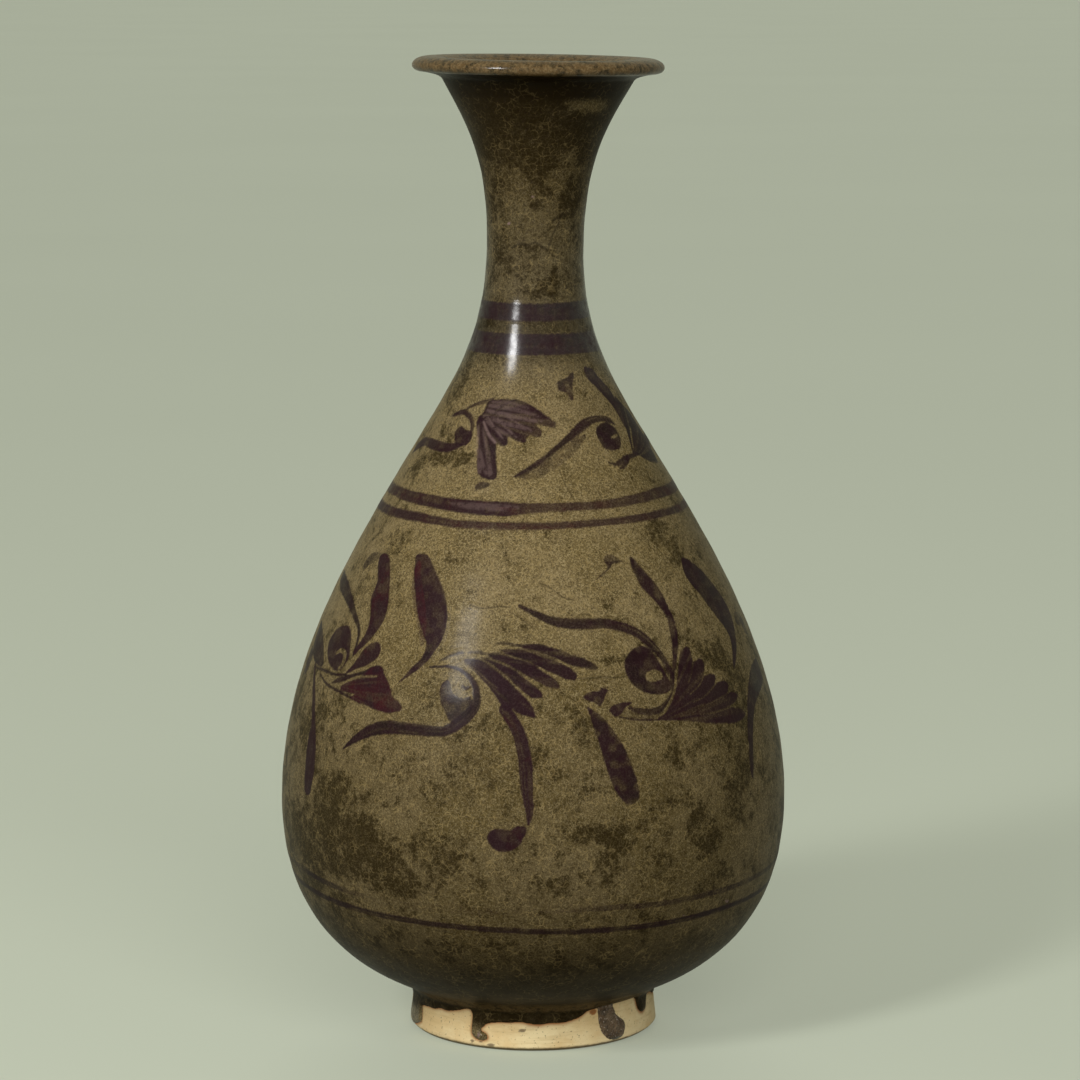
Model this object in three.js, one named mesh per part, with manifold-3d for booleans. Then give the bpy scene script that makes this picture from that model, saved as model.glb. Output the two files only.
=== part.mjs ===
// Pear-shaped stoneware vase, thrown in five sections that are luted together, glazed and painted.
// Millimetres, +Z up. The vase stands on z = 0 with its axis on x = y = 0, and its painted front faces -Y.

import * as THREE from "three";
import Module from "manifold-3d";
import { mergeVertices } from "three/addons/utils/BufferGeometryUtils.js";

const wasm = await Module();
wasm.setup();

// Driving dimensions of the outside, measured on the face of the glaze
const TOTAL_HEIGHT = 290;
const MOUTH_RADIUS = 36.95;
const WAIST_RADIUS = 14.4;
const WAIST_HEIGHT = 234.8;
const SHOULDER_RADIUS = 43.7;
const SHOULDER_HEIGHT = 161.3;
const BELLY_RADIUS = 75.5;
const BELLY_HEIGHT = 70;
const FOOT_TOP_RADIUS = 36;
const FOOT_HEIGHT = 13.2;
const FOOT_RADIUS = 37.1;

// How the outline leaves and meets those places: slopes in degrees, reach of each bend
const UNDERSIDE_SLOPE = 18.3;
const UNDERSIDE_REACH = 25.7;
const BELLY_REACH_BELOW = 31.5;
const BELLY_REACH_ABOVE = 37.5;
const SHOULDER_SLOPE = 59.6;
const SHOULDER_REACH_BELOW = 22.9;
const SHOULDER_REACH_ABOVE = 37.2;
const WAIST_REACH_BELOW = 29.9;
const WAIST_REACH_ABOVE = 27.1;
const TRUMPET_SLOPE = 61.3;
const TRUMPET_REACH = 12.4;

// Rolled lip: what it overhangs, how far it drops from its crest and how it is rounded
const LIP_OVERHANG = 8.85;
const LIP_ROOT_DROP = 6.5;
const LIP_EDGE_DROP = 2.6;
const LIP_TOP_ROUND = 4.55;
const LIP_UNDER_ROUND = 2.35;
const LIP_UNDER_DROP = 4.35;
const LIP_CORNER_REACH = 0.8;
const LIP_CORNER_RISE = 1.35;
const LIP_INSIDE_REACH = 4;
const LIP_INSIDE_BEND = 2.5;

// Clay walls, seams and slip
const GLAZE_THICKNESS = 0.6;
const BODY_WALL = 5;
const NECK_WALL = 3.8;
const FLOOR_HEIGHT = 16.6;
const NECK_SEAM_HEIGHT = 199;
const MOUTH_SECTION_HEIGHT = 28;
const GLAZE_INSIDE_DEPTH = 30;
const SLIP_THICKNESS = 0.6;
const SEAT_BEVEL = 1.5;
const SLIP_BEAD = 0.8;

// Foot ring
const FOOT_BORE_RADIUS = 28.6;
const FOOT_SEAT_DROP = 0.8;
const FOOT_BEVEL_HEIGHT = 1.3;
const FOOT_BEVEL_WIDTH = 1.6;
const BORE_BEVEL = 1;
const RECESS_HEIGHT = 8;
const LUTING_SKIRT_HEIGHT = 9;

// Ragged lower edge of the glaze, under the corner of the foot: angle from the front and share of the
// greatest drop
const GLAZE_EDGE_DROP = 4.8;
const GLAZE_EDGE = [
  [-75, 0.71],
  [-57, 0.79],
  [-40, 0.48],
  [-28, 0.71],
  [-12, 0.96],
  [8, 1],
  [30, 0.33],
  [50, 0.25],
  [63, 0.29],
  [78, 0.75],
  [110, 0.5],
  [150, 0.79],
  [190, 0.42],
  [215, 0.75],
  [250, 0.54],
];
const GLAZE_EDGE_THICKNESS = 0.45;
const GLAZE_EDGE_ROUND = 0.5;
const GLAZE_EDGE_CLEARANCE = 0.02;
const COVE_RISE = 0.7;
const COVE_DROP = 0.35;

// Runs of glaze on the bare foot, under its edge: angle from the front, share of the drop and of the width
const RUN_EDGE_GAP = 0.5;
const RUN_DROP = 8.7;
const RUN_WIDTH = 7.5;
const RUN_GAP = 0.3;
const RUN_THICKNESS = 0.9;
const RUNS = [
  ["glaze_run_wide", [[-75, 0, 0.87], [-75, 0.38, 0.87], [-75.5, 0.79, 0.67]]],
  ["glaze_run_hooked", [[-28.5, 0, 0.64], [-28.8, 0.31, 0.48], [-28, 0.54, 0.43], [-24.5, 0.7, 0.29]]],
  ["glaze_run_blistered", [[36, 0, 0.6], [38.5, 0.38, 0.93], [40, 0.72, 1], [41, 1, 0.53]]],
  ["glaze_run_pointed", [[63, 0, 0.67], [63.5, 0.25, 0.48], [64, 0.53, 0.16]]],
  ["glaze_run_back_left", [[150, 0, 0.6], [151, 0.33, 0.48], [151.5, 0.61, 0.29]]],
  ["glaze_run_back_right", [[215, 0, 0.53], [214, 0.24, 0.4], [213.5, 0.43, 0.21]]],
];

// Painting: gap to the glaze, thickness, and how much a later stroke rides up over an earlier one
const PAINT_GAP = 0.45;
const PAINT_THICKNESS = 0.3;
const PAINT_OVERLAP = 0.12;
const PAINT_LAYERS = 3;
const STROKE_SAG = 0.28;
const STROKE_LEAST_STEPS = 4;

// Size of one step in the heights and widths of everything that is painted
const PAINT_GRID_SIZE = 1;

// Turned lines: height of the middle and width, in those steps
const LINES = [
  ["neck_line_upper", 216.2, 4.8],
  ["neck_line_lower", 207.1, 5.6],
  ["shoulder_line_upper", 162.9, 3],
  ["shoulder_line_lower", 158.2, 2],
  ["base_line_upper", 52, 1.6],
  ["base_line_lower", 45.8, 1.4],
];

// The neck and mouth lean to +X, at this slope, from this height on
const LEAN_START = 185;
const LEAN_SLOPE = 0.0175;
const LEAN_EASE = 15;

// Turns from the front to the copies on the far side, in degrees
const BACK_RIGHT_TURN = 100;
const BACK_LEFT_TURN = 170;
const BACK_LEAF_TURN = 184;
const BACK_EDGE_TURN = 232;
const SHOULDER_BACK_RIGHT_TURN = 154;
const SHOULDER_BACK_LEFT_TURN = 240;
const SHOULDER_LEAF_TURN = 62;

// Facets round the axis, the most that a facet strays from the outline, and halvings in a search along it
const SIDES = 32;
const OUTLINE_SAG = 0.36;
const HALVINGS = 40;

const CLAY_BARE = new THREE.MeshStandardMaterial({ color: 0xcdb48c, roughness: 0.85, metalness: 0 });
const CLAY_INNER = new THREE.MeshStandardMaterial({ color: 0xb79f7c, roughness: 0.9, metalness: 0 });
const SLIP = new THREE.MeshStandardMaterial({ color: 0x8f7454, roughness: 0.9, metalness: 0 });
const GLAZE = new THREE.MeshStandardMaterial({ color: 0x4d4025, roughness: 0.25, metalness: 0 });
const RUN = new THREE.MeshStandardMaterial({ color: 0x4a4438, roughness: 0.2, metalness: 0 });
const PIGMENT = new THREE.MeshStandardMaterial({ color: 0x38211c, roughness: 0.3, metalness: 0 });

const vase = new THREE.Group();
vase.name = "pear_shaped_vase";

function addPiece(name, geometry, material) {
  const mesh = new THREE.Mesh(geometry, material);
  mesh.name = name;
  vase.add(mesh);
}

const at = (radius, height) => new THREE.Vector2(radius, height);

// The point that lies some way from another one, in a direction given in degrees above the outward radius
function reach(from, degrees, length) {
  const angle = THREE.MathUtils.degToRad(degrees);
  return at(from.x + length * Math.cos(angle), from.y + length * Math.sin(angle));
}

// Outline of the glaze, from the foot, over the lip and down into the throat
const footCorner = at(FOOT_TOP_RADIUS, FOOT_HEIGHT);
const belly = at(BELLY_RADIUS, BELLY_HEIGHT);
const shoulder = at(SHOULDER_RADIUS, SHOULDER_HEIGHT);
const waist = at(WAIST_RADIUS, WAIST_HEIGHT);
const lipRoot = at(MOUTH_RADIUS - LIP_OVERHANG, TOTAL_HEIGHT - LIP_ROOT_DROP);
const lipUnder = at(MOUTH_RADIUS - LIP_UNDER_ROUND, TOTAL_HEIGHT - LIP_UNDER_DROP);
const lipCrest = at(MOUTH_RADIUS - LIP_TOP_ROUND, TOTAL_HEIGHT);
const lipEdgeHeight = TOTAL_HEIGHT - LIP_EDGE_DROP;
const shoulderRise = 180 - SHOULDER_SLOPE;

const underside = new THREE.CubicBezierCurve(
  footCorner,
  reach(footCorner, UNDERSIDE_SLOPE, UNDERSIDE_REACH),
  reach(belly, -90, BELLY_REACH_BELOW),
  belly,
);
const upperBelly = new THREE.CubicBezierCurve(
  belly,
  reach(belly, 90, BELLY_REACH_ABOVE),
  reach(shoulder, shoulderRise, -SHOULDER_REACH_BELOW),
  shoulder,
);
const lowerNeck = new THREE.CubicBezierCurve(
  shoulder,
  reach(shoulder, shoulderRise, SHOULDER_REACH_ABOVE),
  reach(waist, -90, WAIST_REACH_BELOW),
  waist,
);
const trumpet = new THREE.CubicBezierCurve(
  waist,
  reach(waist, 90, WAIST_REACH_ABOVE),
  reach(lipRoot, TRUMPET_SLOPE, -TRUMPET_REACH),
  lipRoot,
);
const lipCorner = at(lipRoot.x + LIP_CORNER_REACH, lipRoot.y + LIP_CORNER_RISE);
const lipUnderside = new THREE.QuadraticBezierCurve(lipRoot, lipCorner, lipUnder);
const lipLowerEdge = new THREE.EllipseCurve(
  lipUnder.x, lipEdgeHeight, LIP_UNDER_ROUND, LIP_UNDER_DROP - LIP_EDGE_DROP, -Math.PI / 2, 0,
);
const lipUpperEdge = new THREE.EllipseCurve(
  lipCrest.x, lipEdgeHeight, LIP_TOP_ROUND, LIP_EDGE_DROP, 0, Math.PI / 2,
);

// A station is one level of the outline: it gives the point that lies deep under the glaze's face there,
// and that is shifted along the outline
function station(curve, parameter) {
  const face = curve.getPoint(parameter);
  const along = curve.getTangent(parameter);
  return (depth, shift = 0) =>
    at(face.x - along.y * depth + along.x * shift, face.y + along.x * depth + along.y * shift);
}

// How far a curve strays from its chord, taken in the middle
function sag(curve, start, middle, end) {
  const from = curve.getPoint(start);
  const chord = curve.getPoint(end).sub(from);
  return Math.abs(chord.cross(curve.getPoint(middle).sub(from))) / chord.length();
}

// Stations from one place on a curve up to the next, which isn't among them, as close as the outline asks
function stations(curve, start = 0, end = 1) {
  const middle = (start + end) / 2;
  if (sag(curve, start, middle, end) <= OUTLINE_SAG) return [station(curve, start)];
  return [...stations(curve, start, middle), ...stations(curve, middle, end)];
}

// Where a rising curve reaches a height
function parameterAt(curve, height) {
  let low = 0;
  let high = 1;
  for (let halving = 0; halving < HALVINGS; halving += 1) {
    const middle = (low + high) / 2;
    if (curve.getPoint(middle).y < height) low = middle;
    else high = middle;
  }
  return (low + high) / 2;
}

const outsideCurves = [underside, upperBelly, lowerNeck, trumpet];

function outsideAt(height) {
  const curve = outsideCurves.find((part) => part.getPoint(1).y >= height);
  return station(curve, parameterAt(curve, height));
}

// Stations of the outside from one height up to the next, which isn't among them
function outside(low, high) {
  const crossed = outsideCurves.filter((curve) => curve.getPoint(1).y > low && curve.getPoint(0).y < high);
  return crossed.flatMap((curve) => stations(curve, parameterAt(curve, low), parameterAt(curve, high)));
}

const mouthSeamHeight = TOTAL_HEIGHT - MOUTH_SECTION_HEIGHT;
const glazeEnd = outsideAt(mouthSeamHeight - GLAZE_INSIDE_DEPTH);
const byHeight = (one, other) => one(0).y - other(0).y;

const lowerStations = outside(FOOT_HEIGHT, BELLY_HEIGHT);
const upperStations = outside(BELLY_HEIGHT, NECK_SEAM_HEIGHT);
const neckStations = [...outside(NECK_SEAM_HEIGHT, mouthSeamHeight), glazeEnd].sort(byHeight);
const mouthStations = outside(mouthSeamHeight, lipRoot.y);
const mouthTop = station(trumpet, 1);
const lipStations = [...stations(lipUnderside), ...stations(lipLowerEdge), ...stations(lipUpperEdge)];

// Clay under the glaze thins from the belly to the neck
function wallAt(height) {
  return THREE.MathUtils.mapLinear(
    THREE.MathUtils.smoothstep(height, BELLY_HEIGHT, WAIST_HEIGHT), 0, 1, BODY_WALL, NECK_WALL,
  );
}

const halfSlip = SLIP_THICKNESS / 2;
const clayFace = (place) => place(GLAZE_THICKNESS);
const clayInside = (place) => place(GLAZE_THICKNESS + wallAt(place(0).y));
const glazeInside = (place) => place(2 * GLAZE_THICKNESS + wallAt(place(0).y));

// The two rims that meet in a luted seam, and its slip between them: the seat slopes down and inwards
const below = -halfSlip;
const above = halfSlip;
const seatOuter = (place, side) => place(GLAZE_THICKNESS, side);
const seatInner = (place, side) => place(GLAZE_THICKNESS + wallAt(place(0).y), side - SEAT_BEVEL);

// Inside of the lip, from its crest down to the flare
const flareTop = glazeInside(mouthTop);
const lipInside = new THREE.CubicBezierCurve(
  lipCrest,
  reach(lipCrest, 180, LIP_INSIDE_REACH),
  reach(flareTop, TRUMPET_SLOPE, LIP_INSIDE_BEND),
  flareTop,
);
const insideStations = stations(lipInside);

// Levels of the neck that its upper seat leaves free on the inside, and those of them that are glazed
const neckTop = seatInner(mouthStations[0], below);
const neckInside = neckStations.slice(1).filter((place) => clayInside(place).y < neckTop.y);
const throatStations = neckInside.filter((place) => byHeight(place, glazeEnd) >= 0);

// Whole foot wall, from its lower bevel up to the corner under the belly
const clayCorner = clayFace(lowerStations[0]);
function footWall(height) {
  return THREE.MathUtils.mapLinear(height, FOOT_BEVEL_HEIGHT, clayCorner.y, FOOT_RADIUS, clayCorner.x);
}

const leanAt = (height) => {
  const rise = Math.max(0, height - LEAN_START);
  return (LEAN_SLOPE * rise * rise) / (rise + LEAN_EASE);
};

function lean(geometry) {
  const position = geometry.attributes.position;
  for (let vertex = 0; vertex < position.count; vertex += 1) {
    position.setX(vertex, position.getX(vertex) + leanAt(position.getZ(vertex)));
  }
  return geometry;
}

// Turns a section, which runs up its outside and down its inside, round the upright axis
function turned(section) {
  const geometry = new THREE.LatheGeometry(section, SIDES);
  geometry.rotateX(Math.PI / 2);
  return lean(geometry);
}

const closed = (section) => [...section, section[0].clone()];

const descending = (places) => [...places].reverse();

function addFoot() {
  const ringTop = FOOT_HEIGHT - FOOT_SEAT_DROP;
  const seat = ringTop + SLIP_THICKNESS;
  const bossRadius = FOOT_BORE_RADIUS - SLIP_THICKNESS;
  addPiece("foot_ring", turned(closed([
    at(FOOT_BORE_RADIUS + BORE_BEVEL, 0),
    at(FOOT_RADIUS - FOOT_BEVEL_WIDTH, 0),
    at(FOOT_RADIUS, FOOT_BEVEL_HEIGHT),
    at(footWall(ringTop), ringTop),
    at(FOOT_BORE_RADIUS, ringTop),
    at(FOOT_BORE_RADIUS, BORE_BEVEL),
  ])), CLAY_BARE);
  addPiece("foot_luting", turned(closed([
    at(bossRadius, LUTING_SKIRT_HEIGHT),
    at(FOOT_BORE_RADIUS, LUTING_SKIRT_HEIGHT),
    at(FOOT_BORE_RADIUS, ringTop),
    at(footWall(ringTop), ringTop),
    at(footWall(seat), seat),
    at(bossRadius, seat),
  ])), SLIP);
  addPiece("lower_body", turned([
    at(0, RECESS_HEIGHT),
    at(bossRadius, RECESS_HEIGHT),
    at(bossRadius, seat),
    at(footWall(seat), seat),
    ...lowerStations.map(clayFace),
    seatOuter(upperStations[0], below),
    seatInner(upperStations[0], below),
    ...descending(lowerStations).map(clayInside),
    at(0, FLOOR_HEIGHT),
  ]), CLAY_INNER);
}

// A section of the wall from one seam to the next, open at both ends
function addSection(name, [seam, ...rest], next, inside) {
  addPiece(name, turned(closed([
    seatOuter(seam, above),
    ...rest.map(clayFace),
    seatOuter(next, below),
    seatInner(next, below),
    ...descending(inside).map(clayInside),
    seatInner(seam, above),
  ])), CLAY_INNER);
}

function addMouth() {
  const [seam, ...rest] = mouthStations;
  addPiece("mouth", turned(closed([
    seatOuter(seam, above),
    ...[...rest, ...lipStations, ...insideStations].map(clayFace),
    ...[mouthTop, ...descending(rest)].map(clayInside),
    seatInner(seam, above),
  ])), CLAY_INNER);
}

// Slip squeezes out in a bead inside the body, where no glaze covers it
function addLuting(name, seam) {
  const beadDepth = GLAZE_THICKNESS + wallAt(seam(0).y) + SLIP_BEAD;
  addPiece(name, turned(closed([
    seatOuter(seam, below),
    seatOuter(seam, above),
    seatInner(seam, above),
    seam(beadDepth, -SEAT_BEVEL),
    seatInner(seam, below),
  ])), SLIP);
}

// The glaze covers this seam on both sides, so it has no bead
function addMouthLuting() {
  const [seam] = mouthStations;
  addPiece("mouth_luting", turned(closed([
    seatOuter(seam, below),
    seatOuter(seam, above),
    seatInner(seam, above),
    seatInner(seam, below),
  ])), SLIP);
}

// Height of the glaze's ragged edge at an angle from the front, eased from each named place to the next
function glazeEdge(degrees) {
  const turns = [...GLAZE_EDGE, [GLAZE_EDGE[0][0] + 360, GLAZE_EDGE[0][1]]];
  const angle = THREE.MathUtils.euclideanModulo(degrees - turns[0][0], 360) + turns[0][0];
  const next = turns.findIndex(([place]) => place > angle);
  const [start, low] = turns[next - 1];
  const [end, high] = turns[next];
  const share = low + (high - low) * THREE.MathUtils.smoothstep(angle, start, end);
  return FOOT_HEIGHT - GLAZE_EDGE_DROP * share;
}

// Moves the lowest two rings of the coat up and down along the foot wall
function roughenEdge(geometry, level) {
  const position = geometry.attributes.position;
  for (let vertex = 0; vertex < position.count; vertex += 1) {
    const x = position.getX(vertex);
    const y = position.getY(vertex);
    const z = position.getZ(vertex);
    if (z < level + GLAZE_EDGE_ROUND + GLAZE_EDGE_CLEARANCE) {
      const height = z + glazeEdge(THREE.MathUtils.radToDeg(Math.atan2(x, -y))) - level;
      const radius = Math.hypot(x, y);
      const scale = (radius + footWall(height) - footWall(z)) / radius;
      position.setXYZ(vertex, x * scale, y * scale, height);
    }
  }
  return geometry;
}

// One skin over the clay: up the outside, over the lip and down to its end inside the throat
function addGlaze() {
  const level = FOOT_HEIGHT - GLAZE_EDGE_DROP;
  const [seamBelly, ...upper] = upperStations;
  const [seamNeck, ...neck] = neckStations;
  const [seamMouth, ...mouth] = mouthStations;
  const seamFaces = (seam) => [seatOuter(seam, below), seatOuter(seam, above)];
  const front = [...lowerStations.slice(1), ...upperStations, ...neckStations, ...mouthStations];
  const covered = [
    ...lowerStations.map(clayFace),
    ...seamFaces(seamBelly),
    ...upper.map(clayFace),
    ...seamFaces(seamNeck),
    ...neck.map(clayFace),
    ...seamFaces(seamMouth),
    ...[...mouth, ...lipStations, ...insideStations].map(clayFace),
    ...[mouthTop, ...descending(mouth)].map(clayInside),
    seatInner(seamMouth, above),
    seatInner(seamMouth, below),
    ...descending(throatStations).map(clayInside),
  ];
  const section = [
    at(footWall(level) + GLAZE_EDGE_CLEARANCE, level),
    at(footWall(level) + GLAZE_EDGE_THICKNESS, level + GLAZE_EDGE_ROUND),
    at(footWall(FOOT_HEIGHT) + GLAZE_EDGE_THICKNESS + COVE_DROP, FOOT_HEIGHT - COVE_DROP),
    outsideAt(FOOT_HEIGHT + COVE_RISE)(0),
    ...[...front, ...lipStations, ...insideStations].map((place) => place(0)),
    ...[mouthTop, ...descending(mouthStations), ...descending(throatStations)].map(glazeInside),
    ...covered.reverse(),
  ];
  addPiece("glaze_coat", roughenEdge(turned(closed(section)), level), GLAZE);
}

// The facets of a hollow part of the outline stand a little proud of the curve
const outline = [...lowerStations, ...upperStations, ...neckStations, ...mouthStations];
const facets = outline.map((place) => place(0));
function facetRadius(height) {
  const next = facets.findIndex((point) => point.y > height);
  const [low, high] = [facets[next - 1], facets[next]];
  return THREE.MathUtils.mapLinear(height, low.y, high.y, low.x, high.x);
}

// Point over the glaze's face at an angle from the front, a height and a distance outwards
function onGlaze(degrees, height, outwards) {
  const place = outsideAt(height);
  const proud = Math.max(0, facetRadius(height) - place(0).x);
  const point = place(-outwards);
  return placed(degrees, at(point.x + proud, point.y));
}

function onFoot(degrees, height, outwards) {
  return placed(degrees, at(footWall(height) + outwards, height));
}

function placed(degrees, point) {
  const angle = THREE.MathUtils.degToRad(degrees);
  return new THREE.Vector3(
    point.x * Math.sin(angle) + leanAt(point.y),
    -point.x * Math.cos(angle),
    point.y,
  );
}

function addLine(name, middle, width) {
  const half = (width * PAINT_GRID_SIZE) / 2;
  const low = middle * PAINT_GRID_SIZE - half;
  const high = middle * PAINT_GRID_SIZE + half;
  const edge = (height, outwards) => {
    const point = onGlaze(180, height, outwards);
    return at(point.y, point.z);
  };
  const face = PAINT_GAP + PAINT_THICKNESS;
  addPiece(name, turned(closed([
    edge(low, PAINT_GAP),
    edge(low, face),
    edge(high, face),
    edge(high, PAINT_GAP),
  ])), PIGMENT);
}

// A brush stroke follows its marks, each an angle from the front, a height and a width, on a curved face
function ribbon(marks, face, gap, thickness) {
  const roundness = (height) => Math.hypot(face(0, height, 0).x - leanAt(height), face(0, height, 0).y);
  const millimetres = (degrees, height) => THREE.MathUtils.degToRad(degrees) * roundness(height);
  const route = new THREE.CatmullRomCurve3(
    marks.map(([degrees, height]) => new THREE.Vector3(millimetres(degrees, height), height, 0)),
  );
  const widths = new THREE.CatmullRomCurve3(marks.map((mark, index) => new THREE.Vector3(index, mark[2], 0)));
  const stepLength = Math.sqrt(8 * STROKE_SAG * roundness(marks[0][1]));
  const steps = Math.max(STROKE_LEAST_STEPS, Math.ceil(route.getLength() / stepLength));
  const positions = [];
  for (let step = 0; step <= steps; step += 1) {
    const here = route.getPoint(step / steps);
    const ahead = route.getTangent(step / steps);
    const half = widths.getPoint(step / steps).y / 2;
    for (const [side, outwards] of [[-1, gap], [1, gap], [1, gap + thickness], [-1, gap + thickness]]) {
      const height = here.y - ahead.x * side * half;
      const across = here.x + ahead.y * side * half;
      const degrees = THREE.MathUtils.radToDeg(across / roundness(here.y));
      positions.push(...face(degrees, height, outwards).toArray());
    }
  }
  const index = [0, 1, 2, 0, 2, 3];
  for (let corner = 0; corner < steps * 4; corner += 1) {
    const next = corner % 4 === 3 ? corner - 3 : corner + 1;
    index.push(corner, next + 4, next, corner, corner + 4, next + 4);
  }
  const end = steps * 4;
  index.push(end, end + 2, end + 1, end, end + 3, end + 2);
  const geometry = new THREE.BufferGeometry();
  geometry.setAttribute("position", new THREE.Float32BufferAttribute(positions, 3));
  geometry.setIndex(index);
  return geometry;
}

function toManifold(geometry) {
  const merged = mergeVertices(geometry);
  return new wasm.Manifold(new wasm.Mesh({
    numProp: 3,
    vertProperties: Float32Array.from(merged.attributes.position.array),
    triVerts: Uint32Array.from(merged.index.array),
  }));
}

function fromManifold(solid) {
  const mesh = solid.getMesh();
  const geometry = new THREE.BufferGeometry();
  geometry.setAttribute("position", new THREE.BufferAttribute(mesh.vertProperties, 3));
  geometry.setIndex(new THREE.BufferAttribute(mesh.triVerts, 1));
  return geometry;
}

// Strokes that run into each other are one deposit of pigment
function addBrushwork(name, strokes, turn = 0) {
  const solids = strokes.map((marks, order) => {
    const placedMarks = marks.map(([degrees, ...lengths]) => [
      degrees + turn,
      ...lengths.map((length) => length * PAINT_GRID_SIZE),
    ]);
    const lift = PAINT_OVERLAP * (order % PAINT_LAYERS);
    return toManifold(ribbon(placedMarks, onGlaze, PAINT_GAP, PAINT_THICKNESS + lift));
  });
  addPiece(name, fromManifold(solids.reduce((whole, solid) => whole.add(solid))), PIGMENT);
}

function addRun(name, marks) {
  const top = glazeEdge(marks[0][0]) - RUN_EDGE_GAP;
  const placedMarks = marks.map(([degrees, drop, width]) => [
    degrees,
    top - drop * RUN_DROP,
    width * RUN_WIDTH,
  ]);
  addPiece(name, ribbon(placedMarks, onFoot, RUN_GAP, RUN_THICKNESS), RUN);
}

const BELLY_LEFT_SPRAY = [
  [[-57, 146.5, 2.5], [-52.5, 143, 5.5], [-49.5, 137, 7.5], [-48.3, 130, 8], [-50.5, 123, 5],
    [-55.5, 118, 2]],
  [[-82, 137.3, 4], [-70, 135, 3.2], [-60, 130.7, 2.5], [-55.5, 127, 1.5], [-53.5, 122, 1.2]],
  [[-59, 123.6, 3.5], [-63.2, 122, 4.4], [-64, 118.5, 4.6], [-61, 115.6, 4.4], [-57.5, 115.4, 4]],
  [[-60.5, 123.4, 4], [-56, 122.4, 4.4], [-54.4, 119, 4.4], [-56, 116, 4], [-59, 115.2, 3.5]],
  [[-81, 119.5, 8], [-75, 118, 8], [-70, 116.2, 6], [-65, 113.8, 4], [-58, 112.6, 2.5]],
  [[-60, 112.4, 2.5], [-48, 110, 5.5], [-41, 111.5, 9], [-36, 110, 7], [-33.5, 107.5, 3]],
  [[-52, 111, 2], [-46, 115.5, 3], [-41, 120, 3], [-39, 122.5, 1.5]],
  [[-73, 116, 2.5], [-66, 106, 3], [-63, 100, 4], [-61.7, 92, 5], [-61.3, 84, 5.5], [-61, 77.5, 3]],
];
const BELLY_LEFT_LEAF = [
  [[-39, 148.7, 1.5], [-36, 144.5, 6], [-32.5, 138.5, 8.5], [-29, 132, 8.5], [-27, 127, 5.5],
    [-30.5, 120.5, 2]],
];
const BELLY_CENTRE_SPRAY = [
  [[-26, 119.3, 2], [-19, 119, 3], [-14.8, 116.5, 3], [-13, 112, 3], [-13.6, 107, 3], [-17, 103.6, 3],
    [-23, 101.8, 3], [-30, 102.4, 3], [-36, 102.6, 3], [-42, 100, 2.5], [-48.5, 94.5, 1.2]],
  [[-20, 119.2, 2.5], [-23.4, 115, 4], [-23.2, 110, 4], [-20.5, 105, 3.5], [-17, 103.4, 2.5]],
  [[-15, 118, 2], [-10, 123, 2.5], [-3, 125.6, 3], [3, 125.8, 3], [9, 124, 2.5], [16.5, 119.8, 1]],
  [[-14, 116.5, 2], [-8, 121, 2.2], [-1, 122.4, 2.2], [5, 120.8, 2.2], [10.5, 117.3, 1]],
  [[-14, 116, 2], [-8, 118.3, 2], [-1, 118.8, 2], [6.5, 115, 1]],
  [[-13.5, 113.5, 1.5], [-7, 114.8, 2], [-2, 114, 2], [2, 112.3, 1]],
  [[-13.5, 112, 1.5], [-6, 108, 2.5], [-4, 102, 2.8], [-2.3, 95, 2.8], [-1.5, 88, 2.8],
    [-0.8, 82.5, 2.4], [-0.6, 78.3, 1.2]],
];
const BELLY_RIGHT_SPRAY = [
  [[-6, 137, 1.5], [0, 134.2, 2], [5, 133, 2.3], [12, 131.7, 2.3], [20, 131.2, 2.4], [26, 130.2, 2.4],
    [31, 127.2, 2.4], [34.5, 122.5, 2.5], [36.3, 117.5, 2.5], [36, 111, 2]],
  [[31.5, 122.3, 3.6], [27.6, 121.3, 4.4], [26.4, 117.5, 4.6], [27.8, 113.6, 4.4], [31.5, 112.8, 3.6]],
  [[29.5, 122.3, 3.6], [33.3, 120.8, 4], [34.6, 117.3, 4], [33.4, 113.8, 4], [29.8, 112.8, 3.6]],
  [[31, 105.5, 3], [36, 112, 3.5], [40, 118, 4], [43.5, 123, 1.5]],
  [[31, 105.4, 3], [40, 111.5, 4], [45, 116, 3.5], [48.5, 118.5, 1.5]],
  [[31, 105.2, 3.5], [44, 108.6, 5], [55.5, 111, 1.5]],
  [[31, 105, 3.5], [44, 104.6, 5], [52, 103.6, 4], [60, 102, 1.5]],
  [[17, 108.4, 1.5], [21, 108.4, 2.8], [26, 107.4, 2], [34, 106.8, 2]],
  [[33, 147.6, 2], [35.5, 143.3, 5], [39, 137.3, 5], [41, 130.5, 4], [40.8, 126.2, 3], [39.4, 117, 2]],
];
const BELLY_RIGHT_HANGING_LEAF = [
  [[14, 109, 1.2], [16.5, 104.5, 3], [18.8, 99.5, 5], [20, 94, 6.5], [21, 88.5, 7], [22.7, 82, 3]],
];
const BELLY_FAR_LEAF = [
  [[55.5, 146, 2], [57.5, 142, 5.5], [61, 136.5, 8.5], [65.3, 129, 6.5], [66.3, 124.5, 4.5], [66, 120.5, 3.5],
    [62.5, 115.8, 1.5]],
];
const BELLY_EDGE_STROKE = [
  [[82, 112, 3], [75, 111, 3], [70, 109, 3], [66, 105.5, 2.8], [63.5, 100, 2.5], [60.5, 95, 2.5],
    [59, 88, 2.2], [58.5, 83, 1.2]],
];
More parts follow.
